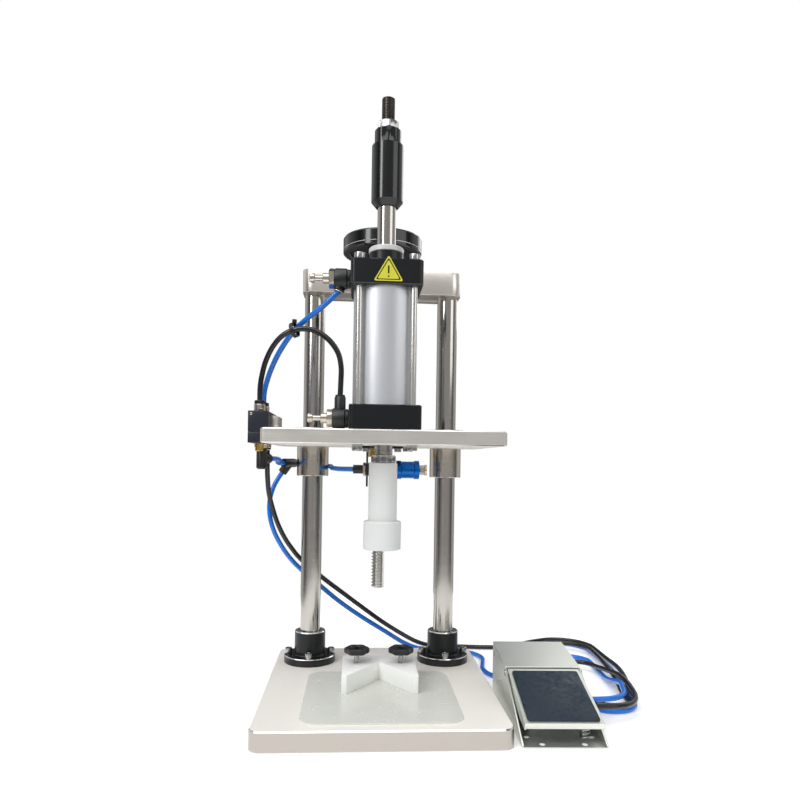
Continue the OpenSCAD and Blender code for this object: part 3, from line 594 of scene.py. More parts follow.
def eased(node: str, body: str, slot: str, finishes: Sequence[Finish], width: float = 0.5,
          segments: int = 2, pick: Optional[Callable[[bmesh.types.BMFace], int]] = None,
          name: str = "") -> bpy.types.Object:
    """Makes a merged copy of a CAD node with eased edges, which stands for it.

    Args:
        node: The CAD node.
        body: The body it rides on.
        slot: Not used; passed on to Shape.done, which ignores it.
        finishes: The finishes, by number.
        width: The edges' width in millimetres.
        segments: The edges' steps.
        pick: Gives a face's finish number, or None for the first finish everywhere.
        name: The piece's name, or nothing for the node's name with an ending.

    Returns:
        The piece.
    """
    shape = Shape()
    shape.bm.from_mesh(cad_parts[node].data)
    bm = shape.bm
    bmesh.ops.scale(bm, vec=(1 / MM, 1 / MM, 1 / MM), verts=bm.verts)
    bmesh.ops.remove_doubles(bm, verts=bm.verts, dist=2e-3)
    bmesh.ops.dissolve_limit(bm, angle_limit=math.radians(1.0), verts=bm.verts, edges=bm.edges,
                             delimit={"NORMAL"})
    sharp = [e for e in bm.edges if len(e.link_faces) == 2 and e.calc_face_angle(0) > math.radians(35)]
    if width:
        bmesh.ops.bevel(bm, geom=sharp, offset=width, segments=segments, profile=0.5, affect="EDGES",
                        material=-1, clamp_overlap=True)
    for face in bm.faces:
        face.material_index = pick(face) if pick else 0
    return shape.done(name or node + "_piece", body, slot, finishes, [node])


def curve(route: Sequence[Point], per_span: int = 8) -> list[Vector]:
    """Draws one smooth line through a route's points.

    Args:
        route: The points, in millimetres.
        per_span: Points made for each stretch.

    Returns:
        The points of the smooth line.
    """
    p = [Vector(q) for q in route]
    last = len(p) - 1
    made = []
    for i in range(last):
        a, b, c, d = p[max(i - 1, 0)], p[i], p[i + 1], p[min(i + 2, last)]
        for k in range(per_span):
            t = k / per_span
            made.append(0.5 * (2 * b + (c - a) * t + (2 * a - 5 * b + 4 * c - d) * t * t
                               + (3 * b - a - 3 * c + d) * t ** 3))
    return made + [p[-1]]


def evenly(line: Sequence[Vector], step: float) -> list[Vector]:
    """Spaces points evenly along a line.

    Args:
        line: The line's points.
        step: The wanted distance.

    Returns:
        The new points, ends included.
    """
    lengths = [0.0]
    for a, b in zip(line, line[1:]):
        lengths.append(lengths[-1] + (b - a).length)
    count = max(2, round(lengths[-1] / step))
    made, i = [], 0
    for k in range(count + 1):
        goal = lengths[-1] * k / count
        while i < len(line) - 2 and lengths[i + 1] < goal:
            i += 1
        span = lengths[i + 1] - lengths[i]
        made.append(line[i].lerp(line[i + 1], (goal - lengths[i]) / span if span else 0.0))
    return made


def run_length(line: Sequence[Vector]) -> float:
    """Gives a line's length."""
    return sum((b - a).length for a, b in zip(line, line[1:]))


# ---- stand ----


@dataclass
class Stand:
    """Base plate, columns, top beam and bottle locator. Sizes in millimetres."""

    column_x: float = 83.0
    column_y: float = 85.0
    column_d: float = 25.0
    column_top: float = 488.0
    foot_screw_ring: float = 52.5
    housing_screw_ring: float = 50.0
    beam_screw_depth: float = 11.0
    stud_x: float = 25.0
    stud_y: float = 2.5
    knob_z: float = 50.7
    knob_hub_r: float = 9.0
    knob_lobes: int = 6
    knob_dip: float = 0.13      # how deep the hollows between the lobes are, as a share of the radius

    def build(self) -> None:
        """Builds the stand's pieces."""
        self.base()
        self.columns()
        self.beam()
        self.locator()

    def base(self) -> None:
        """Builds the base plate and the mat that lies on it."""
        low, high = box_mm("base_plate")
        # The narrow sides (finish 2) take the darker grey, a painted reflection of the bench.
        Shape().plate(low, high, 12, 1.3, 0.8).done(
            "base_plate_piece", "stand", "blasted_aluminium", [BLASTED, BRIGHT_CHAMFER, BASE_EDGE_PAINTED_REFLECTION],
            ["base_plate"], 20)
        low, high = box_mm("base_mat")
        Shape().plate(low, high, 18, 0.35, 0.1, 0, 0).done(
            "silicone_mat", "stand", "clear_mat", [CLEAR_MAT], ["base_mat"])

    def columns(self) -> None:
        """Builds the chromed columns, their foot flanges and the screws of both."""
        bars, feet, screws = Shape(), Shape(), Shape()
        r = self.column_d / 2
        for side in SIDES:
            x = side * self.column_x
            bars.lathe([(0, 20), (r - 0.5, 20), (r, 20.5), (r, self.column_top - 1),
                        (r - 1, self.column_top), (0, self.column_top)], (x, self.column_y, 0))
            feet.lathe([(r, 20.02), (31.5, 20.02), (31.5, 28.2)], (x, self.column_y, 0))
            feet.lathe([(31.5, 28.2), (30.7, 29)], (x, self.column_y, 0), UP, 1)
            feet.lathe([(30.7, 29), (20.2, 29), (19, 30.2), (19, 57)], (x, self.column_y, 0))
            feet.lathe([(19, 57), (18.2, 58), (13.6, 58)], (x, self.column_y, 0), UP, 1)
            feet.lathe([(13.6, 58), (r, 57.2), (r, 20.02)], (x, self.column_y, 0))
            for spot in four_round(x, self.column_y, 29, self.foot_screw_ring):
                screws.cap_screw(8.5, 7, 4, spot)
        bars.done("guide_columns", "stand", "hard_chrome", [HARD_CHROME], ["columns"])
        bmesh.ops.remove_doubles(feet.bm, verts=feet.bm.verts, dist=1e-3)
        feet.done("foot_flange_pieces", "stand", "black_anodised", [BLACK_ANODISED, BRIGHT_CHAMFER],
                  ["foot_flanges"], 25)
        beam_top = box_mm("top_beam")[1].z
        for side in SIDES:
            screws.cap_screw(16, 10, 8, (side * self.column_x, self.column_y,
                                         beam_top - self.beam_screw_depth))
        for spot in four_round(0, self.column_y, 508, self.housing_screw_ring, math.pi / 4):
            screws.cap_screw(8.5, 5, 4, spot)
        screws.done("frame_screw_pieces", "stand", "bright_steel", [BRIGHT_STEEL], ["frame_screws"])

    def beam(self) -> None:
        """Builds the top beam with its bearing housing and bearings."""
        eased("top_beam", "stand", "brushed_aluminium", [BRUSHED_BAR, BRIGHT_CHAMFER], 0.9, 2,
              name="cross_beam")
        housing = Shape().lathe([(9, 502), (31, 502), (31, 507.2), (30.2, 508), (20, 508), (19, 509),
                                 (19, 525), (18, 526), (16, 526), (16, 508.2), (9, 508.2), (9, 502)],
                                (0, self.column_y, 0))
        housing.done("screw_bearing_housing", "stand", "black_anodised", [GLOSS_BLACK],
                     ["bearing_housing"])
        Shape().lathe([(6, 508.4), (15.9, 508.4), (15.9, 525.3), (13.8, 525.3), (13.4, 524.7),
                       (9.6, 524.7), (9.2, 525.5), (6, 525.5), (6, 508.4)],
                      (0, self.column_y, 0)).done("ball_bearings", "stand", "bright_steel", [BUSH_STEEL],
                                                  ["screw_bearings"])

    def locator(self) -> None:
        """Builds the V-block, its studs and its lobed knobs."""
        eased("v_block", "stand", "white_polymer", [ACETAL_BLOCK], 0.7, 3, name="bottle_locator")
        studs = Shape()
        for side, body, node in ((-1, "knob_l", "left_knob"), (1, "knob_r", "right_knob")):
            x = side * self.stud_x
            studs.thread(6, 1, 46, (x, self.stud_y, 7), steps=16, depth=0.5)
            knob = Shape().lathe([(3.1, 0), (6.5, 0), (6.5, 1.2), (13.4, 1.4), (14.3, 2.4), (14.3, 6.4),
                                  (13, 7.6), (7.5, 8), (6.2, 6.6), (3.1, 6.6), (3.1, 0)], steps=72)
            for v in knob.bm.verts:
                rad = math.hypot(v.co.x, v.co.y)
                if rad > self.knob_hub_r:
                    dip = 0.5 - 0.5 * math.cos(self.knob_lobes * math.atan2(v.co.y, v.co.x))
                    pull = 1 - self.knob_dip * dip ** 0.8
                    v.co.x, v.co.y = v.co.x * pull, v.co.y * pull
            bmesh.ops.translate(knob.bm, vec=(x, self.stud_y, self.knob_z), verts=knob.bm.verts)
            knob.done(node + "_piece", body, "black_plastic", [NYLON], [node])
        studs.done("clamp_stud_pieces", "stand", "bright_steel", [STAINLESS_STUD], ["clamp_studs"], 50)


# ---- screw and handwheel ----


@dataclass
class ScrewDrive:
    """The lead screw with its handwheel. Sizes in millimetres."""

    axis_y: float = 85.0
    screw_d: float = 16.0
    pitch: float = 4.0
    wheel_d: float = 98.0

    def build(self) -> None:
        """Builds the screw and the wheel."""
        axis = (0, self.axis_y, 0)
        screw = Shape().thread(self.screw_d, self.pitch, 470 - 111.5, (0, self.axis_y, 111.5),
                               depth=0.42)
        screw.lathe([(0, 469), (6.8, 469), (8, 471), (8, 507.5), (5.9, 507.7), (5.9, 548), (5, 549),
                     (0, 549)], axis)
        screw.done("threaded_lead_screw", "wheel", "bright_steel", [STAINLESS_STUD], ["lead_screw"], 50)
        r = self.wheel_d / 2
        wheel = Shape()
        wheel.lathe([(40, 528), (41, 527), (47.5, 527), (r, 528.4), (r, 531.6)], axis, UP, 0, 96)
        wheel.lathe([(r, 531.6), (r - 0.4, 532), (r, 532.4)], axis, UP, 1, 96)
        wheel.lathe([(r, 532.4), (r, 545), (47.4, 547), (41.6, 547), (40, 545.4), (40, 539)], axis, UP,
                    0, 96)
        # Web and hub faces (finish 2) carry the grey painted reflection.
        wheel.lathe([(40, 539), (14, 539)], axis, UP, 2, 96)
        wheel.lathe([(14, 539), (14, 546), (13, 547), (5.9, 547)], axis, UP, 0, 96)
        wheel.lathe([(5.9, 547), (5.9, 527), (13.2, 527), (14, 527.8), (14, 531)], axis, UP, 2, 96)
        wheel.lathe([(14, 531), (40, 531), (40, 528)], axis, UP, 2, 96)
        bmesh.ops.remove_doubles(wheel.bm, verts=wheel.bm.verts, dist=2e-3)
        wheel.done("height_handwheel", "wheel", "black_anodised",
                   [GLOSS_BLACK, BRIGHT_CHAMFER, WEB_PAINTED_REFLECTION], ["handwheel"])


# ---- carriage ----


@dataclass
class Carriage:
    """The plate that slides on the columns, with the air cylinder. Sizes in millimetres."""

    press_y: float = -40.0
    cap_w: float = 75.0
    cap_h: float = 26.0
    lower_cap_z: float = 301.0
    upper_cap_z: float = 450.0
    tie: float = 28.25
    bush_ring: float = 50.5
    column_x: float = 83.0
    column_y: float = 85.0

    def build(self) -> None:
        """Builds the plate, its bushes and the cylinder."""
        low, high = box_mm("carriage_plate")
        Shape().plate(low, high, 4, 1.0, 0.7).done(
            "sliding_plate", "carriage", "blasted_aluminium", [BLASTED, BRIGHT_CHAMFER, MILLED_EDGE],
            ["carriage_plate"], 20)
        self.bushes()
        self.cylinder()
        self.label()

    def bushes(self) -> None:
        """Builds the guide bushes, the screw's nut and the screws of both."""
        bushes, screws = Shape(), Shape()
        for side in SIDES:
            at = (side * self.column_x, self.column_y, 0)
            bushes.lathe([(12.7, 249.5), (18.6, 249.5), (19.5, 250.4), (19.5, 301), (30, 301),
                          (30, 307.8), (29.3, 308.5), (14.5, 308.5), (13.6, 307.6), (12.7, 307.6),
                          (12.7, 249.5)], at)
            for spot in four_round(at[0], at[1], 304.6, self.bush_ring, math.pi / 4):
                screws.cap_screw(7, 4, 3, spot)
        bushes.done("guide_bush_pieces", "carriage", "bush_steel", [BUSH_STEEL], ["guide_bushes"])
        nut_at = (0, self.column_y, 0)
        Shape().lathe([(8.2, 274), (13.4, 274), (14, 274.6), (14, 301), (23, 301), (23, 310.4),
                       (22.4, 311), (9.2, 311), (8.2, 310), (8.2, 274)], nut_at).done("lead_screw_nut",
                                                                                      "carriage",
                                                                                      "brass", [BRASS],
                                                                                      ["screw_nut"])
        for sx in SIDES:
            for sy in SIDES:
                screws.cap_screw(11, 6, 6, (sx * self.tie, self.press_y + sy * self.tie, 286), DOWN)
            screws.cap_screw(8, 4.5, 4, (sx * 18, 2, 284), DOWN)
        screws.done("carriage_screw_pieces", "carriage", "bright_steel", [BRIGHT_STEEL],
                    ["carriage_screws"])

    def cylinder(self) -> None:
        """Builds the caps, the tube, the tie rods and the bumper ring."""
        half, y = self.cap_w / 2, self.press_y
        for node, z in (("lower_cap", self.lower_cap_z), ("upper_cap", self.upper_cap_z)):
            cap = Shape().plate((-half, y - half, z), (half, y + half, z + self.cap_h),
                                5, 1.0, 0.9, 1, 0)
            if node == "upper_cap":
                cap.lathe([(10.4, z + 25), (18.5, z + 25), (18.5, z + 39.6), (17.6, z + 40.5),
                           (10.4, z + 40.5), (10.4, z + 25)], (0, y, 0))
            cap.done(node + "_piece", "carriage", "black_anodised", [BLACK_ANODISED, GLOSS_BLACK],
                     [node], 25)
        Shape().lathe([(31.5, 323), (34, 323), (34, 454), (31.5, 454), (31.5, 323)], (0, y, 0), UP, 0,
                      96).done("cylinder_barrel", "carriage", "satin_aluminium", [SATIN_TUBE],
                               ["cylinder_tube"])
        rods = Shape()
        for sx in SIDES:
            for sy in SIDES:
                at = Vector((sx * self.tie, y + sy * self.tie, 0))
                rods.lathe([(0, 326), (3.5, 326), (3.5, 451), (0, 451)], at, UP, 1, 24)
                rods.cap_screw(12, 7, 6, at + Vector((0, 0, 476)))
        rods.done("tie_rod_pieces", "carriage", "bright_steel", [BRIGHT_STEEL, TIE_STEEL], ["tie_rods"])
        Shape().lathe([(10.5, 490.5), (18, 490.5), (18.75, 491.2), (18.75, 495.5), (17.8, 496.5),
                       (11, 496.5), (10.5, 496), (10.5, 490.5)], (0, y, 0)).done("bumper_ring_piece",
                                                                                 "carriage",
                                                                                 "white_polymer",
                                                                                 [ACETAL],
                                                                                 ["bumper_ring"])

    def label(self) -> None:
        """Sticks a plain warning triangle on the upper cap."""
        front = self.press_y - self.cap_w / 2
        sign = Shape()
        for size, depth, finish in ((1.0, 0.12, 0), (0.86, 0.16, 1), (0.74, 0.2, 0)):
            part = bmesh.new()
            bmesh.ops.create_cone(part, cap_ends=True, segments=3, radius1=17.6 * size,
                                  radius2=17.6 * size, depth=depth)
            uprights = [e for e in part.edges if abs(e.verts[0].co.z - e.verts[1].co.z) > depth / 2]
            bmesh.ops.bevel(part, geom=uprights, offset=2.4 * size, segments=5, profile=0.5,
                            affect="EDGES", material=-1)
            bmesh.ops.rotate(part, matrix=Matrix.Rotation(math.pi / 2, 3, "X"), verts=part.verts)
            sign.place(part, (1.2, front - 0.02, 461.4), UP, finish)
        sign.box((0.4, front - 0.3, 460.2), (2.0, front, 468.2), 0.1, 1, 1)
        sign.box((0.4, front - 0.3, 456.6), (2.0, front, 458.2), 0.1, 1, 1)
        sign.done("warning_triangle", "carriage", "", [LABEL_YELLOW, LABEL_BLACK])


# ---- press rod ----


@dataclass
class PressRod:
    """The rod with its stroke sleeve and the capping head. Sizes in millimetres."""

    y: float = -40.0
    rod_d: float = 20.0

    def build(self) -> None:
        """Builds the moving column from the stud down to the capping head."""
        at = (0, self.y, 0)
        sleeve_low, sleeve_high = box_mm("stroke_sleeve")
        z0, z1 = sleeve_low.z, sleeve_high.z
        top = box_mm("piston_rod")[1].z
        r = self.rod_d / 2
        rod = Shape().lathe([(0, 238), (6.4, 238), (6.4, 267), (r - 1, 267), (r - 1, 274), (r, 286),
                             (r, z0 + 12), (6.4, z0 + 12), (6.4, z1 + 9), (0, z1 + 9)], at)
        rod.thread(14, 1.6, top - z1 - 9, (0, self.y, z1 + 9), finish=1, steps=24, depth=0.5)
        rod.thread(self.rod_d, 1.6, 11, (0, self.y, 275), steps=24, depth=0.45)
        rod.done("piston_rod_piece", "press", "hard_chrome", [HARD_CHROME, DARK_STUD], ["piston_rod"],
                 40)
        neck = z1 - 16
        sleeve = Shape().lathe([(10.1, z0), (12, z0), (17, z0 + 6), (17, neck - 0.8), (16.2, neck),
                                (14.25, neck), (14.25, neck + 3), (14.25, z1 - 3), (14.25, z1 - 0.6),
                                (13.6, z1), (6.6, z1), (6.6, z0 + 12.1), (10.1, z0 + 12.1), (10.1, z0)],
                               at)
        for v in sleeve.bm.verts:
            if neck + 2.9 < v.co.z < z1 - 2.9 and abs(v.co.y - self.y) > 12:
                v.co.y = self.y + math.copysign(12, v.co.y - self.y)
        sleeve.done(
            "stroke_sleeve_piece", "press", "black_anodised", [GLOSS_BLACK], ["stroke_sleeve"])
        Shape().nut(22, 7.05, 9, (0, self.y, z1)).nut(26, 10.05, 8, (0, self.y, 267.3)).done(
            "rod_nut_pieces", "press", "bright_steel", [BRIGHT_STEEL], ["rod_nuts"])
        low, high = box_mm("piston")
        Shape().lathe([(10, low.z), (31.4, low.z), (31.4, high.z), (10, high.z), (10, low.z)], at).done(
            "piston_piece", "press", "bright_steel", [BUSH_STEEL], ["piston"])
        low, high = box_mm("capping_head")
        z = low.z
        Shape().lathe([(0, z + 12), (14, z + 12), (14, z + 0.8), (14.8, z), (19.2, z), (20, z + 0.8),
                       (20, z + 29), (19, z + 30), (15.25, z + 30), (15.25, high.z - 0.8),
                       (14.4, high.z), (6.6, high.z), (6.6, 237.5), (0, 237.5)], at).done(
            "capping_head_piece", "press", "white_polymer", [ACETAL], ["capping_head"])


# ---- pneumatics ----


@dataclass
class Pneumatics:
    """Valve, speed controllers, fittings and the short hoses. Sizes in millimetres."""

    hose_d: float = 6.0
    y: float = -40.0
    valve_x: float = -136.0
    silencer_y: tuple[float, float] = (-10.0, 30.0)
    outlet_y: tuple[float, float] = (-10.0, 22.0)
    supply_y: float = 60.0
    elbow_y: float = 12.0
    elbow_deg: float = 53.0
    routes: dict[str, list[list[Point]]] = field(default_factory=lambda: {
        "outlet_hose": [[(-47, -40, 339), (-46.5, -40, 354), (-46.5, -40, 369), (-50, -39, 384),
                         (-59, -37, 397), (-71, -35, 406), (-84, -33, 410), (-98, -30, 409),
                         (-111, -26, 403), (-122, -21, 391), (-130, -16, 375), (-134.5, -12, 358),
                         (-136, -10, 346), (-136, -10, 334)]],
        "return_hose": [[(-51.1, -40, 449.2), (-57, -40, 443), (-67, -37, 434), (-84, -29, 422),
                         (-98, -20, 411), (-109, -10, 399), (-119, 0, 385), (-128, 10, 368),
                         (-134, 18, 352), (-136, 22, 342), (-136, 22, 334)]],
        "link_hoses": [[(-128.2, 22.4, 270), (-124.5, 27.5, 270), (-121, 35, 269.5), (-120, 45, 268.5),
                        (-122, 56, 267), (-124, 66, 266), (-122.5, 75, 265), (-118.9, 82.4, 265)],
                       [(-107.1, 105.6, 265), (-104, 112, 265), (-98, 120, 264.5), (-88, 125, 264),
                        (-77, 122, 263), (-68, 114, 262), (-62, 103, 261.5), (-60, 90, 261),
                        (-59, 76, 260), (-55, 62, 259.5), (-49, 50, 259), (-41, 42, 259),
                        (-32.5, 40, 259)]]})

    def build(self) -> None:
        """Builds the valve group and all that hangs on it."""
        self.hoses()
        self.valve()
        self.controllers()
        self.under_plate()

    def hoses(self) -> None:
        """Builds the short hoses between fittings."""
        for node, lines in self.routes.items():
            tube = Shape()
            for line in lines:
                tube.rod(evenly(curve(line), 2.5), self.hose_d / 2, 16)
            black = node == "outlet_hose"
            tube.done(node + "_tube", "carriage", "black_hose" if black else "blue_hose",
                      [BLACK_TUBE if black else BLUE_TUBE], [node], 60)

    def collar(self, shape: Shape, at: Point, along: Point, size: float = 11.0, dark: int = 1) -> None:
        """Adds a push-in release collar at a fitting's mouth."""
        r = size / 2
        shape.lathe([(3.1, -2), (r - 0.9, -2), (r - 0.9, -0.6), (r, -0.5), (r, 1.0), (r - 0.5, 1.5),
                     (3.1, 1.5), (3.1, -2)], at, along, dark)

    def valve(self) -> None:
        """Builds the valve body, its rail and its fittings."""
        low, high = box_mm("carriage_valve")
        body = Shape()
        split = low.z + (high.z - low.z) / 3
        body.box(low, (high.x, high.y, split - 0.15), 0.8, 3)
        body.box((low.x, low.y, split + 0.15), high, 0.8, 3)
        body.box((low.x + 0.5, low.y + 0.5, split - 0.6),
                 (high.x - 0.5, high.y - 0.5, split + 0.6), 0.1, 1)
        body.lathe([(0, 0), (1.5, 0), (1.5, 0.4), (1.1, 0.7), (0, 0.7)],
                   (low.x + 3.4, low.y - 0.05, high.z - 3.4), (0, -1, 0), 1, 24)
        body.done("directional_valve", "carriage", "black_plastic", [VALVE_PAINT, NICKEL],
                  ["carriage_valve"])
        eased("valve_rail", "carriage", "brushed_aluminium", [BRUSHED_BAR], 0.5, 2)
        fits = Shape()
        for y in self.outlet_y:
            fits.lathe([(0, 321.9), (6, 321.9), (6.4, 322.6), (6.4, 329), (5.9, 329.6), (3.1, 329.6),
                        (3.1, 334)], (self.valve_x, y, 0), UP, 0, 48, (), (322.8, 328.8, 0.3))
            fits.lathe([(3.1, 329.6), (5.6, 329.6), (5.9, 330.2), (5.9, 333.2), (5.3, 334), (3.1, 334),
                        (3.1, 329.6)], (self.valve_x, y, 0), UP, 1)
        fits.lathe([(0, 295), (4.3, 295), (4.5, 294), (4.5, 284), (4.2, 283.2), (3.1, 283.2),
                    (0, 283.2)], (self.valve_x, self.supply_y, 0), UP, 0, 48)
        fits.lathe([(3.1, 283.4), (4.2, 283.4), (4.2, 281), (3.1, 281), (3.1, 283.4)],
                   (self.valve_x, self.supply_y, 0), UP, 1)
        fits.done("valve_fitting_pieces", "carriage", "nickel", [NICKEL, NYLON], ["valve_fittings"])
        low, high = box_mm("silencers")
        quiet = Shape()
        for y in self.silencer_y:
            quiet.lathe([(0, low.z), (3.4, low.z), (4.4, low.z + 0.8), (4.4, low.z + 4.5),
                         (5.2, low.z + 4.7), (5.2, 287.1), (0, 287.1)], (self.valve_x, y, 0), UP, 0, 36)
        quiet.done("exhaust_silencers", "carriage", "brass", [BRASS], ["silencers"])

    def controllers(self) -> None:
        """Builds the two speed controllers and their needle screws."""
        for name, z, body in (("upper", 463, "upper_screw"), ("lower", 314, "lower_screw")):
            at = (0, self.y, z)
            part = Shape()
            part.lathe([(0, 37.6), (9, 37.6), (10, 38.4), (10, 41), (11, 42.2), (11, 53.4), (10, 55),
                        (6, 55), (0, 55)], at, LEFT, 0, 48, (), (42.4, 53, 0.25))
            part.lathe([(0, 54.8), (9.2, 54.8), (9.5, 55.4), (9.5, 60.3), (8.8, 61), (0, 61)], at, LEFT,
                       1, 48, [9.5] if name == "upper" else [])
            part.lathe([(0, 60.8), (5.5, 60.8), (5.5, 66.8), (4.8, 67.5), (0, 67.5)], at, LEFT, 1, 36)
            if name == "upper":
                way = Vector((-0.342, 0, -0.940))
                end = Vector((-51.1, self.y, 449.2))
                part.lathe([(0, -9), (5.8, -9), (6.3, -8), (6.3, -2), (5.6, -1), (3.1, -1), (3.1, -9)],
                           end, way, 0)
                self.collar(part, end - way * 1.5, way, 10.5, 1)
            else:
                part.lathe([(0, 318), (6, 318), (6, 336), (5.4, 337), (3.1, 337), (3.1, 330), (0, 330)],
                           (-47, self.y, 0), UP, 0)
                self.collar(part, (-47, self.y, 337.5), UP, 10.5, 0)
            part.done(name + "_speed_controller", "carriage", "black_plastic", [NYLON, NICKEL],
                      [name + "_controller"])
            low, high = box_mm(name + "_needle")
            length = high.x - low.x
            needle = Shape().lathe([(0, 0), (2.9, 0), (2.9, length - 6), (4.4, length - 5.6),
                                    (4.8, length - 4.8), (4.8, length - 0.8), (4.1, length),
                                    (1.8, length), (1.8, length - 1.4), (0, length - 1.4)],
                                   (high.x, self.y, z), LEFT, 0, 48, (),
                                   (length - 5, length - 0.9, 0.25))
            needle.done(name + "_needle_screw", body, "nickel", [NICKEL], [name + "_needle"])

    def under_plate(self) -> None:
        """Builds the elbow, the tee, the bracket, the bulkhead and the hand slide valve."""
        elbow = Shape()
        turn = math.radians(self.elbow_deg)
        out = Vector((math.cos(turn), math.sin(turn), 0))
        corner = Vector((self.valve_x, self.elbow_y, 270))
        elbow.lathe([(0, 258), (4.4, 258), (6, 259.8), (6, 281), (5.4, 282), (0, 282)],
                    (self.valve_x, self.elbow_y, 0))
        elbow.lathe([(0, 281.5), (5.6, 281.5), (6, 282), (6, 286.4), (5.6, 287), (0, 287)],
                    (self.valve_x, self.elbow_y, 0), UP, 1, 48, [6])
        elbow.lathe([(0, 0), (5.5, 0), (5.5, 11.6), (3.1, 12), (0, 12)], corner, out)
        self.collar(elbow, corner + out * 11.5, out, 10.5, 0)
        elbow.done("swivel_elbow", "carriage", "black_plastic", [NYLON, NICKEL], ["elbow_fitting"])
        tee = Shape()
        run, hub, branch = Vector((0.454, 0.891, 0)).normalized(), Vector((-113, 94,
                                                                           265)), Vector((-0.574, 0,
                                                                                          -0.819))
        tee.lathe([(0, -12.2), (5.5, -12.2), (5.5, 12.2), (0, 12.2)], hub, run)
        tee.lathe([(0, 0), (5.5, 0), (5.5, 14), (0, 14)], hub, branch)
        for way, reach in ((run, 11.6), (-run, 11.6), (branch, 13.6)):
            self.collar(tee, hub + way * reach, way, 10.5, 0)
        tee.done("tee_piece", "carriage", "black_plastic", [NYLON], ["tee_fitting"])
        eased("hose_bracket", "carriage", "black_anodised", [BLACK_ANODISED], 0.25, 1)
        low, high = box_mm("bulkhead_fitting")
        bulk = Shape()
        length = high.x - low.x
        bulk.lathe([(3.1, 0), (4.9, 0), (5.2, 0.5), (5.2, length - 0.3), (4.7, length), (3.1, length),
                    (3.1, 0)], (low.x, 40, 259), RIGHT, 1)
        bulk.nut(14, 5.2, 4, (-17.1 - 4, 40, 259), RIGHT).nut(14, 5.2, 4, (-14.9, 40, 259), RIGHT)
        bulk.done("bulkhead_union", "carriage", "nickel", [NICKEL, NYLON], ["bulkhead_fitting"])
        low, high = box_mm("slide_valve")
        axis = (0, middle("slide_valve").y, middle("slide_valve").z)
        slide = Shape()
        slide.lathe([(0, low.x), (7.9, low.x), (8.5, low.x + 0.7), (8.5, 44.4), (7.8, 45), (0, 45)],
                    axis, RIGHT)
        slide.lathe([(0, 44.8), (4.8, 44.8), (5, 45.3), (5, 52.5), (0, 52.5)], axis, RIGHT, 0, 48, [5])
        slide.lathe([(0, 52.3), (6, 52.3), (6.5, 52.8), (6.5, 54.4), (5.8, high.x), (3.4, high.x),
                     (3.2, high.x - 1.6), (0, high.x - 1.6)], axis, RIGHT, 0)
        slide.done("hand_slide_valve", "carriage", "nickel", [NICKEL], ["slide_valve"])
        low, high = box_mm("slide_sleeve")
        x0, x1 = low.x, high.x
        Shape().lathe([(8.65, x0), (10.6, x0), (11, x0 + 0.4), (11, x0 + 5.4), (10, x0 + 6.2),
                       (10, x1 - 6.2), (11, x1 - 5.4), (11, x1 - 0.4), (10.6, x1), (8.65, x1),
                       (8.65, x0)], axis, RIGHT).done("blue_slide_ring", "slide_ring", "blue_anodised",
                                                      [BLUE_ANODISED], ["slide_sleeve"])
        ties = Shape()
        ring_at(ties, Vector((-98, -25, 410)), Vector((1, -0.4, 0.3)), 7.2, 4.4)
        ties.done("hose_tie", "carriage", "", [NYLON])


def ring_at(shape: Shape, at: Vector, along: Vector, radius: float, width: float) -> None:
    """Adds a nylon tie with its square lock round a pair of hoses.

    Args:
        shape: The shape it goes into.
        at: The tie's middle.
        along: The hoses' direction.
        radius: The tie's inner radius.
        width: How wide the band is.
    """
    shape.lathe([(radius, -width / 2), (radius + 1.1, -width / 2), (radius + 1.1, width / 2),
                 (radius, width / 2), (radius, -width / 2)], at, along)
    shape.box(at + Vector((-2.4, -2.2, radius)), at + Vector((2.4, 2.2, radius + 4.2)), 0.4, 1)


# ---- foot valve ----


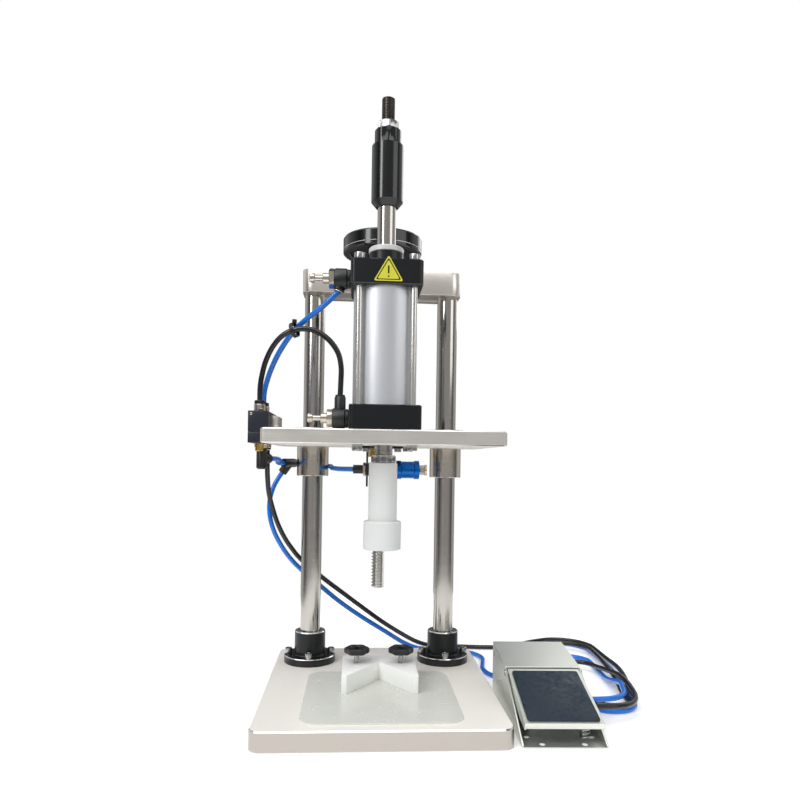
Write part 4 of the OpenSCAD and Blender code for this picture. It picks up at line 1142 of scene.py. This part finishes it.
@dataclass
class FootValve:
    """The pedal with its tray, cover and air valve. Sizes in millimetres in the tray's own frame."""

    origin: tuple[float, float, float] = (172.5, -137.0, 0.0)
    turn_deg: float = -2.0
    hinge: tuple[float, float] = (92.0, 43.0)
    rivet: tuple[float, float, float] = (41.0, 160.0, 44.0)
    port_y: tuple[float, float] = (60.0, 80.0)
    port_z: float = 19.0
    spring_r: float = 4.7
    spring_wire_r: float = 0.7
    spring_turns: int = 6
    spring_keep: float = 0.6    # the spring's share of its height when the treadle is down

    @property
    def side(self) -> Vector:
        """Gives the tray's sideways direction in the row frame."""
        return self.world((1, 0, 0)) - self.world((0, 0, 0))

    def world(self, p: Point) -> Vector:
        """Turns a point of the tray's frame into the row frame."""
        return Vector(self.origin) + Matrix.Rotation(math.radians(self.turn_deg), 3, "Z") @ Vector(p)

    def build(self) -> None:
        """Builds the tray, the cover, the treadle and the valve."""
        for node, name in (("pedal_tray", "foot_tray"), ("pedal_cover", "foot_cover")):
            eased(node, "stand", "sheet_steel", [SHEET_STEEL], 0.25, 1, name=name)
        eased("pedal_plate", "pedal", "sheet_steel", [SHEET_STEEL], 0.25, 1, name="treadle_plate")
        eased("pedal_pad", "pedal", "tread_rubber", [TREAD], 0.45, 2, name="treadle_pad")
        eased("pedal_valve", "stand", "valve_block", [CAST_BODY], 0.6, 2, name="foot_valve_body")
        self.pin_and_spring()
        self.ports()

    def pin_and_spring(self) -> None:
        """Builds the hinge pin with the cover's rivets, the spring and the valve button."""
        side = self.side
        low, high = box_mm("pedal_pin")
        half = (high.x - low.x) / 2 / side.x
        pin = Shape().lathe([(0, -half), (1.6, -half), (2, 0.4 - half), (2, half - 0.4), (1.6, half),
                             (0, half)], self.world((0, *self.hinge)), side, 0, 24)
        for s in SIDES:
            pin.lathe([(2, 0), (3.6, 0), (3.4, 0.8), (2, 0.9)], self.world((s * (half - 1.1),
                                                                            *self.hinge)), side * s, 0,
                      24)
        for s in SIDES:
            pin.lathe([(0, -0.4), (2.3, -0.4), (2.1, 0.3), (1.2, 0.5), (0, 0.5)],
                      self.world((s * self.rivet[0], *self.rivet[1:])), side * s, 0, 24)
        pin.done("hinge_pin", "stand", "bright_steel", [BRIGHT_STEEL], ["pedal_pin"])
        self.spring()
        (low, high), mid = box_mm("pedal_plunger"), middle("pedal_plunger")
        Shape().lathe([(0, low.z), (4, low.z), (4, high.z - 1), (3.2, high.z), (0, high.z)],
                      (mid.x, mid.y, 0), UP, 0, 36).done("valve_button", "button", "brass", [BRASS],
                                                         ["pedal_plunger"])

    def spring(self) -> None:
        """Winds the return spring."""
        (low, high), mid = box_mm("pedal_spring"), middle("pedal_spring")
        steps = 18 * self.spring_turns
        rise = high.z - low.z - 1.6
        coil = []
        for k in range(steps + 1):
            a = math.tau * k * self.spring_turns / steps
            coil.append(Vector((mid.x + self.spring_r * math.cos(a), mid.y + self.spring_r * math.sin(a),
                                low.z + 0.8 + rise * k / steps)))
        spring = Shape().rod(coil, self.spring_wire_r, 8).done("return_spring", "stand", "bright_steel",
                                                               [BRIGHT_STEEL], ["pedal_spring"], 60)
        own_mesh(spring)

    def ports(self) -> None:
        """Builds the two push-in fittings on the valve's side."""
        fits = Shape()
        for y in self.port_y:
            at = self.world((0, y, self.port_z))
            fits.lathe([(0, 35.9), (4.5, 35.9), (4.5, 41.6), (5.2, 41.6), (5.5, 42), (5.5, 46),
                        (5.1, 46.6), (3.1, 46.6), (3.1, 40), (0, 40)], at, self.side)
            fits.lathe([(3.1, 46), (4.6, 46), (4.6, 46.9), (5.2, 47.1), (5.2, 47.8), (3.1, 48),
                        (3.1, 46)], at, self.side)
        fits.done("foot_valve_fittings", "stand", "black_plastic", [NYLON], ["pedal_fittings"])


# ---- loose hoses ----


def arc(centre: tuple[float, float], radius: float, start: float, end: float, z: Sequence[float],
        count: int = 10) -> list[Point]:
    """Gives points along an arc on the floor.

    Args:
        centre: The arc's centre.
        radius: Its radius.
        start: First angle in degrees.
        end: Last angle in degrees.
        z: Height at the start and at the end.
        count: How many points.

    Returns:
        The points, in millimetres.
    """
    made = []
    for k in range(count):
        t = k / (count - 1)
        a = math.radians(start + (end - start) * t)
        made.append((centre[0] + radius * math.cos(a), centre[1] + radius * math.sin(a),
                     z[0] + (z[1] - z[0]) * t))
    return made


@dataclass
class FloorHoses:
    """The two hoses from the carriage to the foot valve, with their loose turns. Millimetres."""

    hose_d: float = 6.0
    front: tuple[float, float] = (256.0, -20.0)
    supply_drop: tuple[Point, ...] = (
        (-121.9, 94, 252.3), (-126, 93.5, 246), (-132, 91, 234), (-136, 88, 216), (-135, 88, 197),
        (-130, 90, 179), (-122, 95, 162), (-112, 101, 146), (-99, 107, 131), (-72, 117, 106),
        (-50, 126, 86), (-21, 139, 63), (12, 156, 39), (42, 174, 17), (66, 186, 6), (92, 189, 3.3),
        (118, 186, 3), (138, 171, 3), (146, 149, 3), (142, 125, 3), (138, 102, 3), (142, 80, 3),
        (156, 64, 3), (176, 60, 3), (195, 69, 3), (210, 86, 3), (222, 106, 3), (226, 130, 3),
        (226, 158, 3))
    signal_drop: tuple[Point, ...] = (
        (-136, 60, 280.5), (-136, 61, 266), (-136, 65, 248), (-135, 73, 228), (-131, 79, 209),
        (-125, 83, 190), (-117, 89, 172), (-107, 95, 156), (-96, 102, 142), (-70, 113, 118),
        (-46, 123, 98), (-21, 136, 77), (8, 152, 53), (36, 174, 31), (60, 194, 14), (82, 204, 5.5),
        (104, 208, 3.4), (128, 207, 3.1), (154, 204, 3), (182, 204, 3), (208, 213, 3), (228, 229, 3))
    supply_end: tuple[Point, ...] = ((281, 4, 15.8), (277, -13, 15.8), (272, -29, 16), (263, -43, 17),
                                     (250, -53, 18), (236, -58, 19), (223.3, -58.7, 19))
    signal_end: tuple[Point, ...] = (
        (285, -22, 15.8), (281, -38, 15.8), (275, -52, 15.8), (266, -64, 16), (253, -73, 17),
        (238, -78, 18.5), (222.6, -78.7, 19))

    def supply_line(self) -> list[Point]:
        """Gives the blue hose's route, drop, turns and end."""
        return [*self.supply_drop, *arc((266.5, 185), 40.5, 175, 5, (3, 3)), (307, 145, 3),
                (305.5, 98, 3), (297, 45, 3), *arc(self.front, 29.8, 5, -180, (3, 3)), (226.4, 10, 3),
                (227.6, 35, 3), (231, 60, 3), (233.4, 85, 3), (233.5, 112, 3),
                *arc((261.2, 130), 27.7, 172, 4, (3, 3)), (286, 85, 3.2), (283, 55, 5), (281.4, 30, 10),
                *self.supply_end]

    def signal_line(self) -> list[Point]:
        """Gives the black hose's route, drop, turns and end."""
        return [*self.signal_drop, *arc((272, 200), 46, 122, 3, (3, 3)), (317, 150, 3.4),
                (313.5, 98, 6.4), (304.6, 52, 8.6), (293.5, 12, 9),
                *arc(self.front, 29.8, 2, -180, (9, 9)), (226.3, 10, 9.2), (226.5, 80, 9.2),
                (227.4, 130, 9.2), *arc((265.2, 165), 37.8, 178, 2, (9.2, 9.2)), (300, 120, 9.2),
                (296, 80, 9), (289.5, 38, 8), (283, 5, 5), *arc(self.front, 24, -5, -178, (3.2, 3.2)),
                (232, 0, 4.8), (232.4, 15, 7.6), (233.2, 35, 9.2), (233.6, 58, 9.2),
                *arc((258, 85), 24.4, 178, 10, (9.2, 9.6)), (285.4, 60, 13.6), (288.6, 32, 17),
                (288.4, 4, 17), *self.signal_end]

    def build(self) -> None:
        for name, line, nodes, slot, finish in (("supply_hose_tube", self.supply_line(),
                                                 ["supply_hose", "hose_coil"], "blue_hose", BLUE_TUBE),
                                                ("signal_hose_tube", self.signal_line(), ["signal_hose"],
                                                 "black_hose", BLACK_TUBE)):
            centre = evenly(curve(line), 5.0)
            hose = Shape().rod(centre, self.hose_d / 2, 16).done(name, "", slot, [finish], nodes, 60)
            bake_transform(hose)
            path = [p * MM for p in centre]
            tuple(path[0])
            run_length(path)
            LOG.info("%s is %.3f m long", name, run_length(path))


# ---- studio ----


@dataclass
class Studio:
    """Camera, light and floor. Metres and degrees."""

    camera_at: tuple[float, float, float] = (-0.02836, -0.76818, 0.26892)
    yaw: float = 3.640
    pitch: float = 0.313
    roll: float = -0.851
    lens: float = 30.59
    shift_y: float = 0.0722
    table_r: float = 0.62
    table_glow: float = 0.24
    sun_power: float = 1.95
    sun_spread: float = 70.0
    mirror_power: float = 0.55

    def build(self) -> None:
        """Sets the camera, the light and the floor."""
        scene = bpy.context.scene
        scene.view_settings.view_transform = "Standard"
        self.camera(scene)
        self.lights()
        self.world(scene)
        self.floor()

    def camera(self, scene: bpy.types.Scene) -> None:
        """Puts the camera at its place."""
        yaw, pitch, roll = (math.radians(a) for a in (self.yaw, self.pitch, self.roll))
        ahead = Vector((math.sin(yaw) * math.cos(pitch), math.cos(yaw) * math.cos(pitch),
                        math.sin(pitch)))
        side = Vector((math.cos(yaw), -math.sin(yaw), 0))
        up = side.cross(ahead)
        right = side * math.cos(roll) - up * math.sin(roll)
        top = up * math.cos(roll) + side * math.sin(roll)
        data = bpy.data.cameras.new("camera")
        data.lens, data.shift_y = self.lens, self.shift_y
        data.clip_start = 0.01
        camera = bpy.data.objects.new("camera", data)
        turn = Matrix((right, top, -ahead)).transposed().to_4x4()
        camera.matrix_world = Matrix.Translation(self.camera_at) @ turn
        scene.collection.objects.link(camera)
        scene.camera = camera

    def lights(self) -> None:
        """Hangs soft lights round the object."""
        for name, at, size, power in (("tall_strip", (-1.0, -0.95, 1.15), (0.35, 1.1), 9.0),
                                      ("fill", (1.3, -0.9, 1.0), (0.9, 0.9), 4.0),
                                      ("rim", (0.9, 1.2, 1.1), (0.8, 0.8), 3.0)):
            data = bpy.data.lights.new(name, "AREA")
            data.shape = "RECTANGLE"
            data.energy, data.size, data.size_y = power, *size
            light = bpy.data.objects.new(name, data)
            light.location = at
            light.rotation_euler = (Vector((0, 0, 0.35)) - Vector(at)).to_track_quat("-Z",
                                                                                     "Y").to_euler()
            bpy.context.scene.collection.objects.link(light)
        data = bpy.data.lights.new("wide_ceiling", "SUN")
        data.energy, data.angle = self.sun_power, math.radians(self.sun_spread)
        ceiling = bpy.data.objects.new("wide_ceiling", data)
        ceiling.rotation_euler = (math.radians(22), math.radians(-14), 0)
        bpy.context.scene.collection.objects.link(ceiling)

    def world(self, scene: bpy.types.Scene) -> None:
        """Gives the eye a plain backdrop and mirrors a banded studio."""
        world = bpy.data.worlds.new("studio")
        world.use_nodes = True
        tree = world.node_tree
        tree.nodes.clear()
        way = add(tree, "ShaderNodeTexCoord")
        parts = add(tree, "ShaderNodeSeparateXYZ", None, {0: way.outputs["Generated"]})
        angle = add(tree, "ShaderNodeMath", {"operation": "ARCTAN2"},
                    {0: parts.outputs[0], 1: parts.outputs[1]})
        share = add(tree, "ShaderNodeMapRange", None, {0: angle.outputs[0], 1: -math.pi, 2: math.pi})
        bands = add(tree, "ShaderNodeValToRGB", None, {0: share.outputs[0]})
        ramp = bands.color_ramp
        for spot, value in ((0.08, 0.75), (0.2, 0.12), (0.27, 0.85), (0.37, 1.25), (0.43, 0.3),
                            (0.53, 0.18), (0.6, 0.75), (0.72, 1.1), (0.78, 0.15), (0.9, 0.7)):
            ramp.elements.new(spot).color = (value, value, value, 1)
        for end in (ramp.elements[0], ramp.elements[-1]):
            end.color = (0.7, 0.7, 0.7, 1)
        mirror = add(tree, "ShaderNodeBackground", None, {0: bands.outputs[0], 1: self.mirror_power})
        eye = add(tree, "ShaderNodeBackground", None, {0: linear("FFFFFF"), 1: 1.0})
        ray = add(tree, "ShaderNodeLightPath")
        mix = add(tree, "ShaderNodeMixShader", None,
                  {0: ray.outputs["Is Camera Ray"], 1: mirror.outputs[0], 2: eye.outputs[0]})
        add(tree, "ShaderNodeOutputWorld", None, {0: mix.outputs[0]})
        scene.world = world

    def floor(self) -> None:
        """Lays a round white light table under the object."""
        disc = bmesh.new()
        bmesh.ops.create_circle(disc, cap_ends=True, segments=128, radius=self.table_r)
        bmesh.ops.translate(disc, vec=(0.08, 0.0, -0.0001), verts=disc.verts)
        mesh = bpy.data.meshes.new("light_table")
        disc.to_mesh(mesh)
        disc.free()
        paper = TABLE_WHITE.material()
        shader = next(n for n in paper.node_tree.nodes if n.type == "BSDF_PRINCIPLED")
        shader.inputs["Emission Color"].default_value = linear("FFFFFF")
        shader.inputs["Emission Strength"].default_value = self.table_glow
        mesh.materials.append(paper)
        table = bpy.data.objects.new("light_table", mesh)
        bpy.context.scene.collection.objects.link(table)


def main() -> None:
    """Builds the studio, the floor hoses and the whole press."""
    logging.basicConfig(level=logging.INFO, format="%(message)s")
    Studio().build()
    FloorHoses().build()
    for part in (Stand(), ScrewDrive(), Carriage(), PressRod(), Pneumatics(), FootValve()):
        LOG.info("building %s", type(part).__name__)
        part.build()


if __name__ == "__main__":
    main()
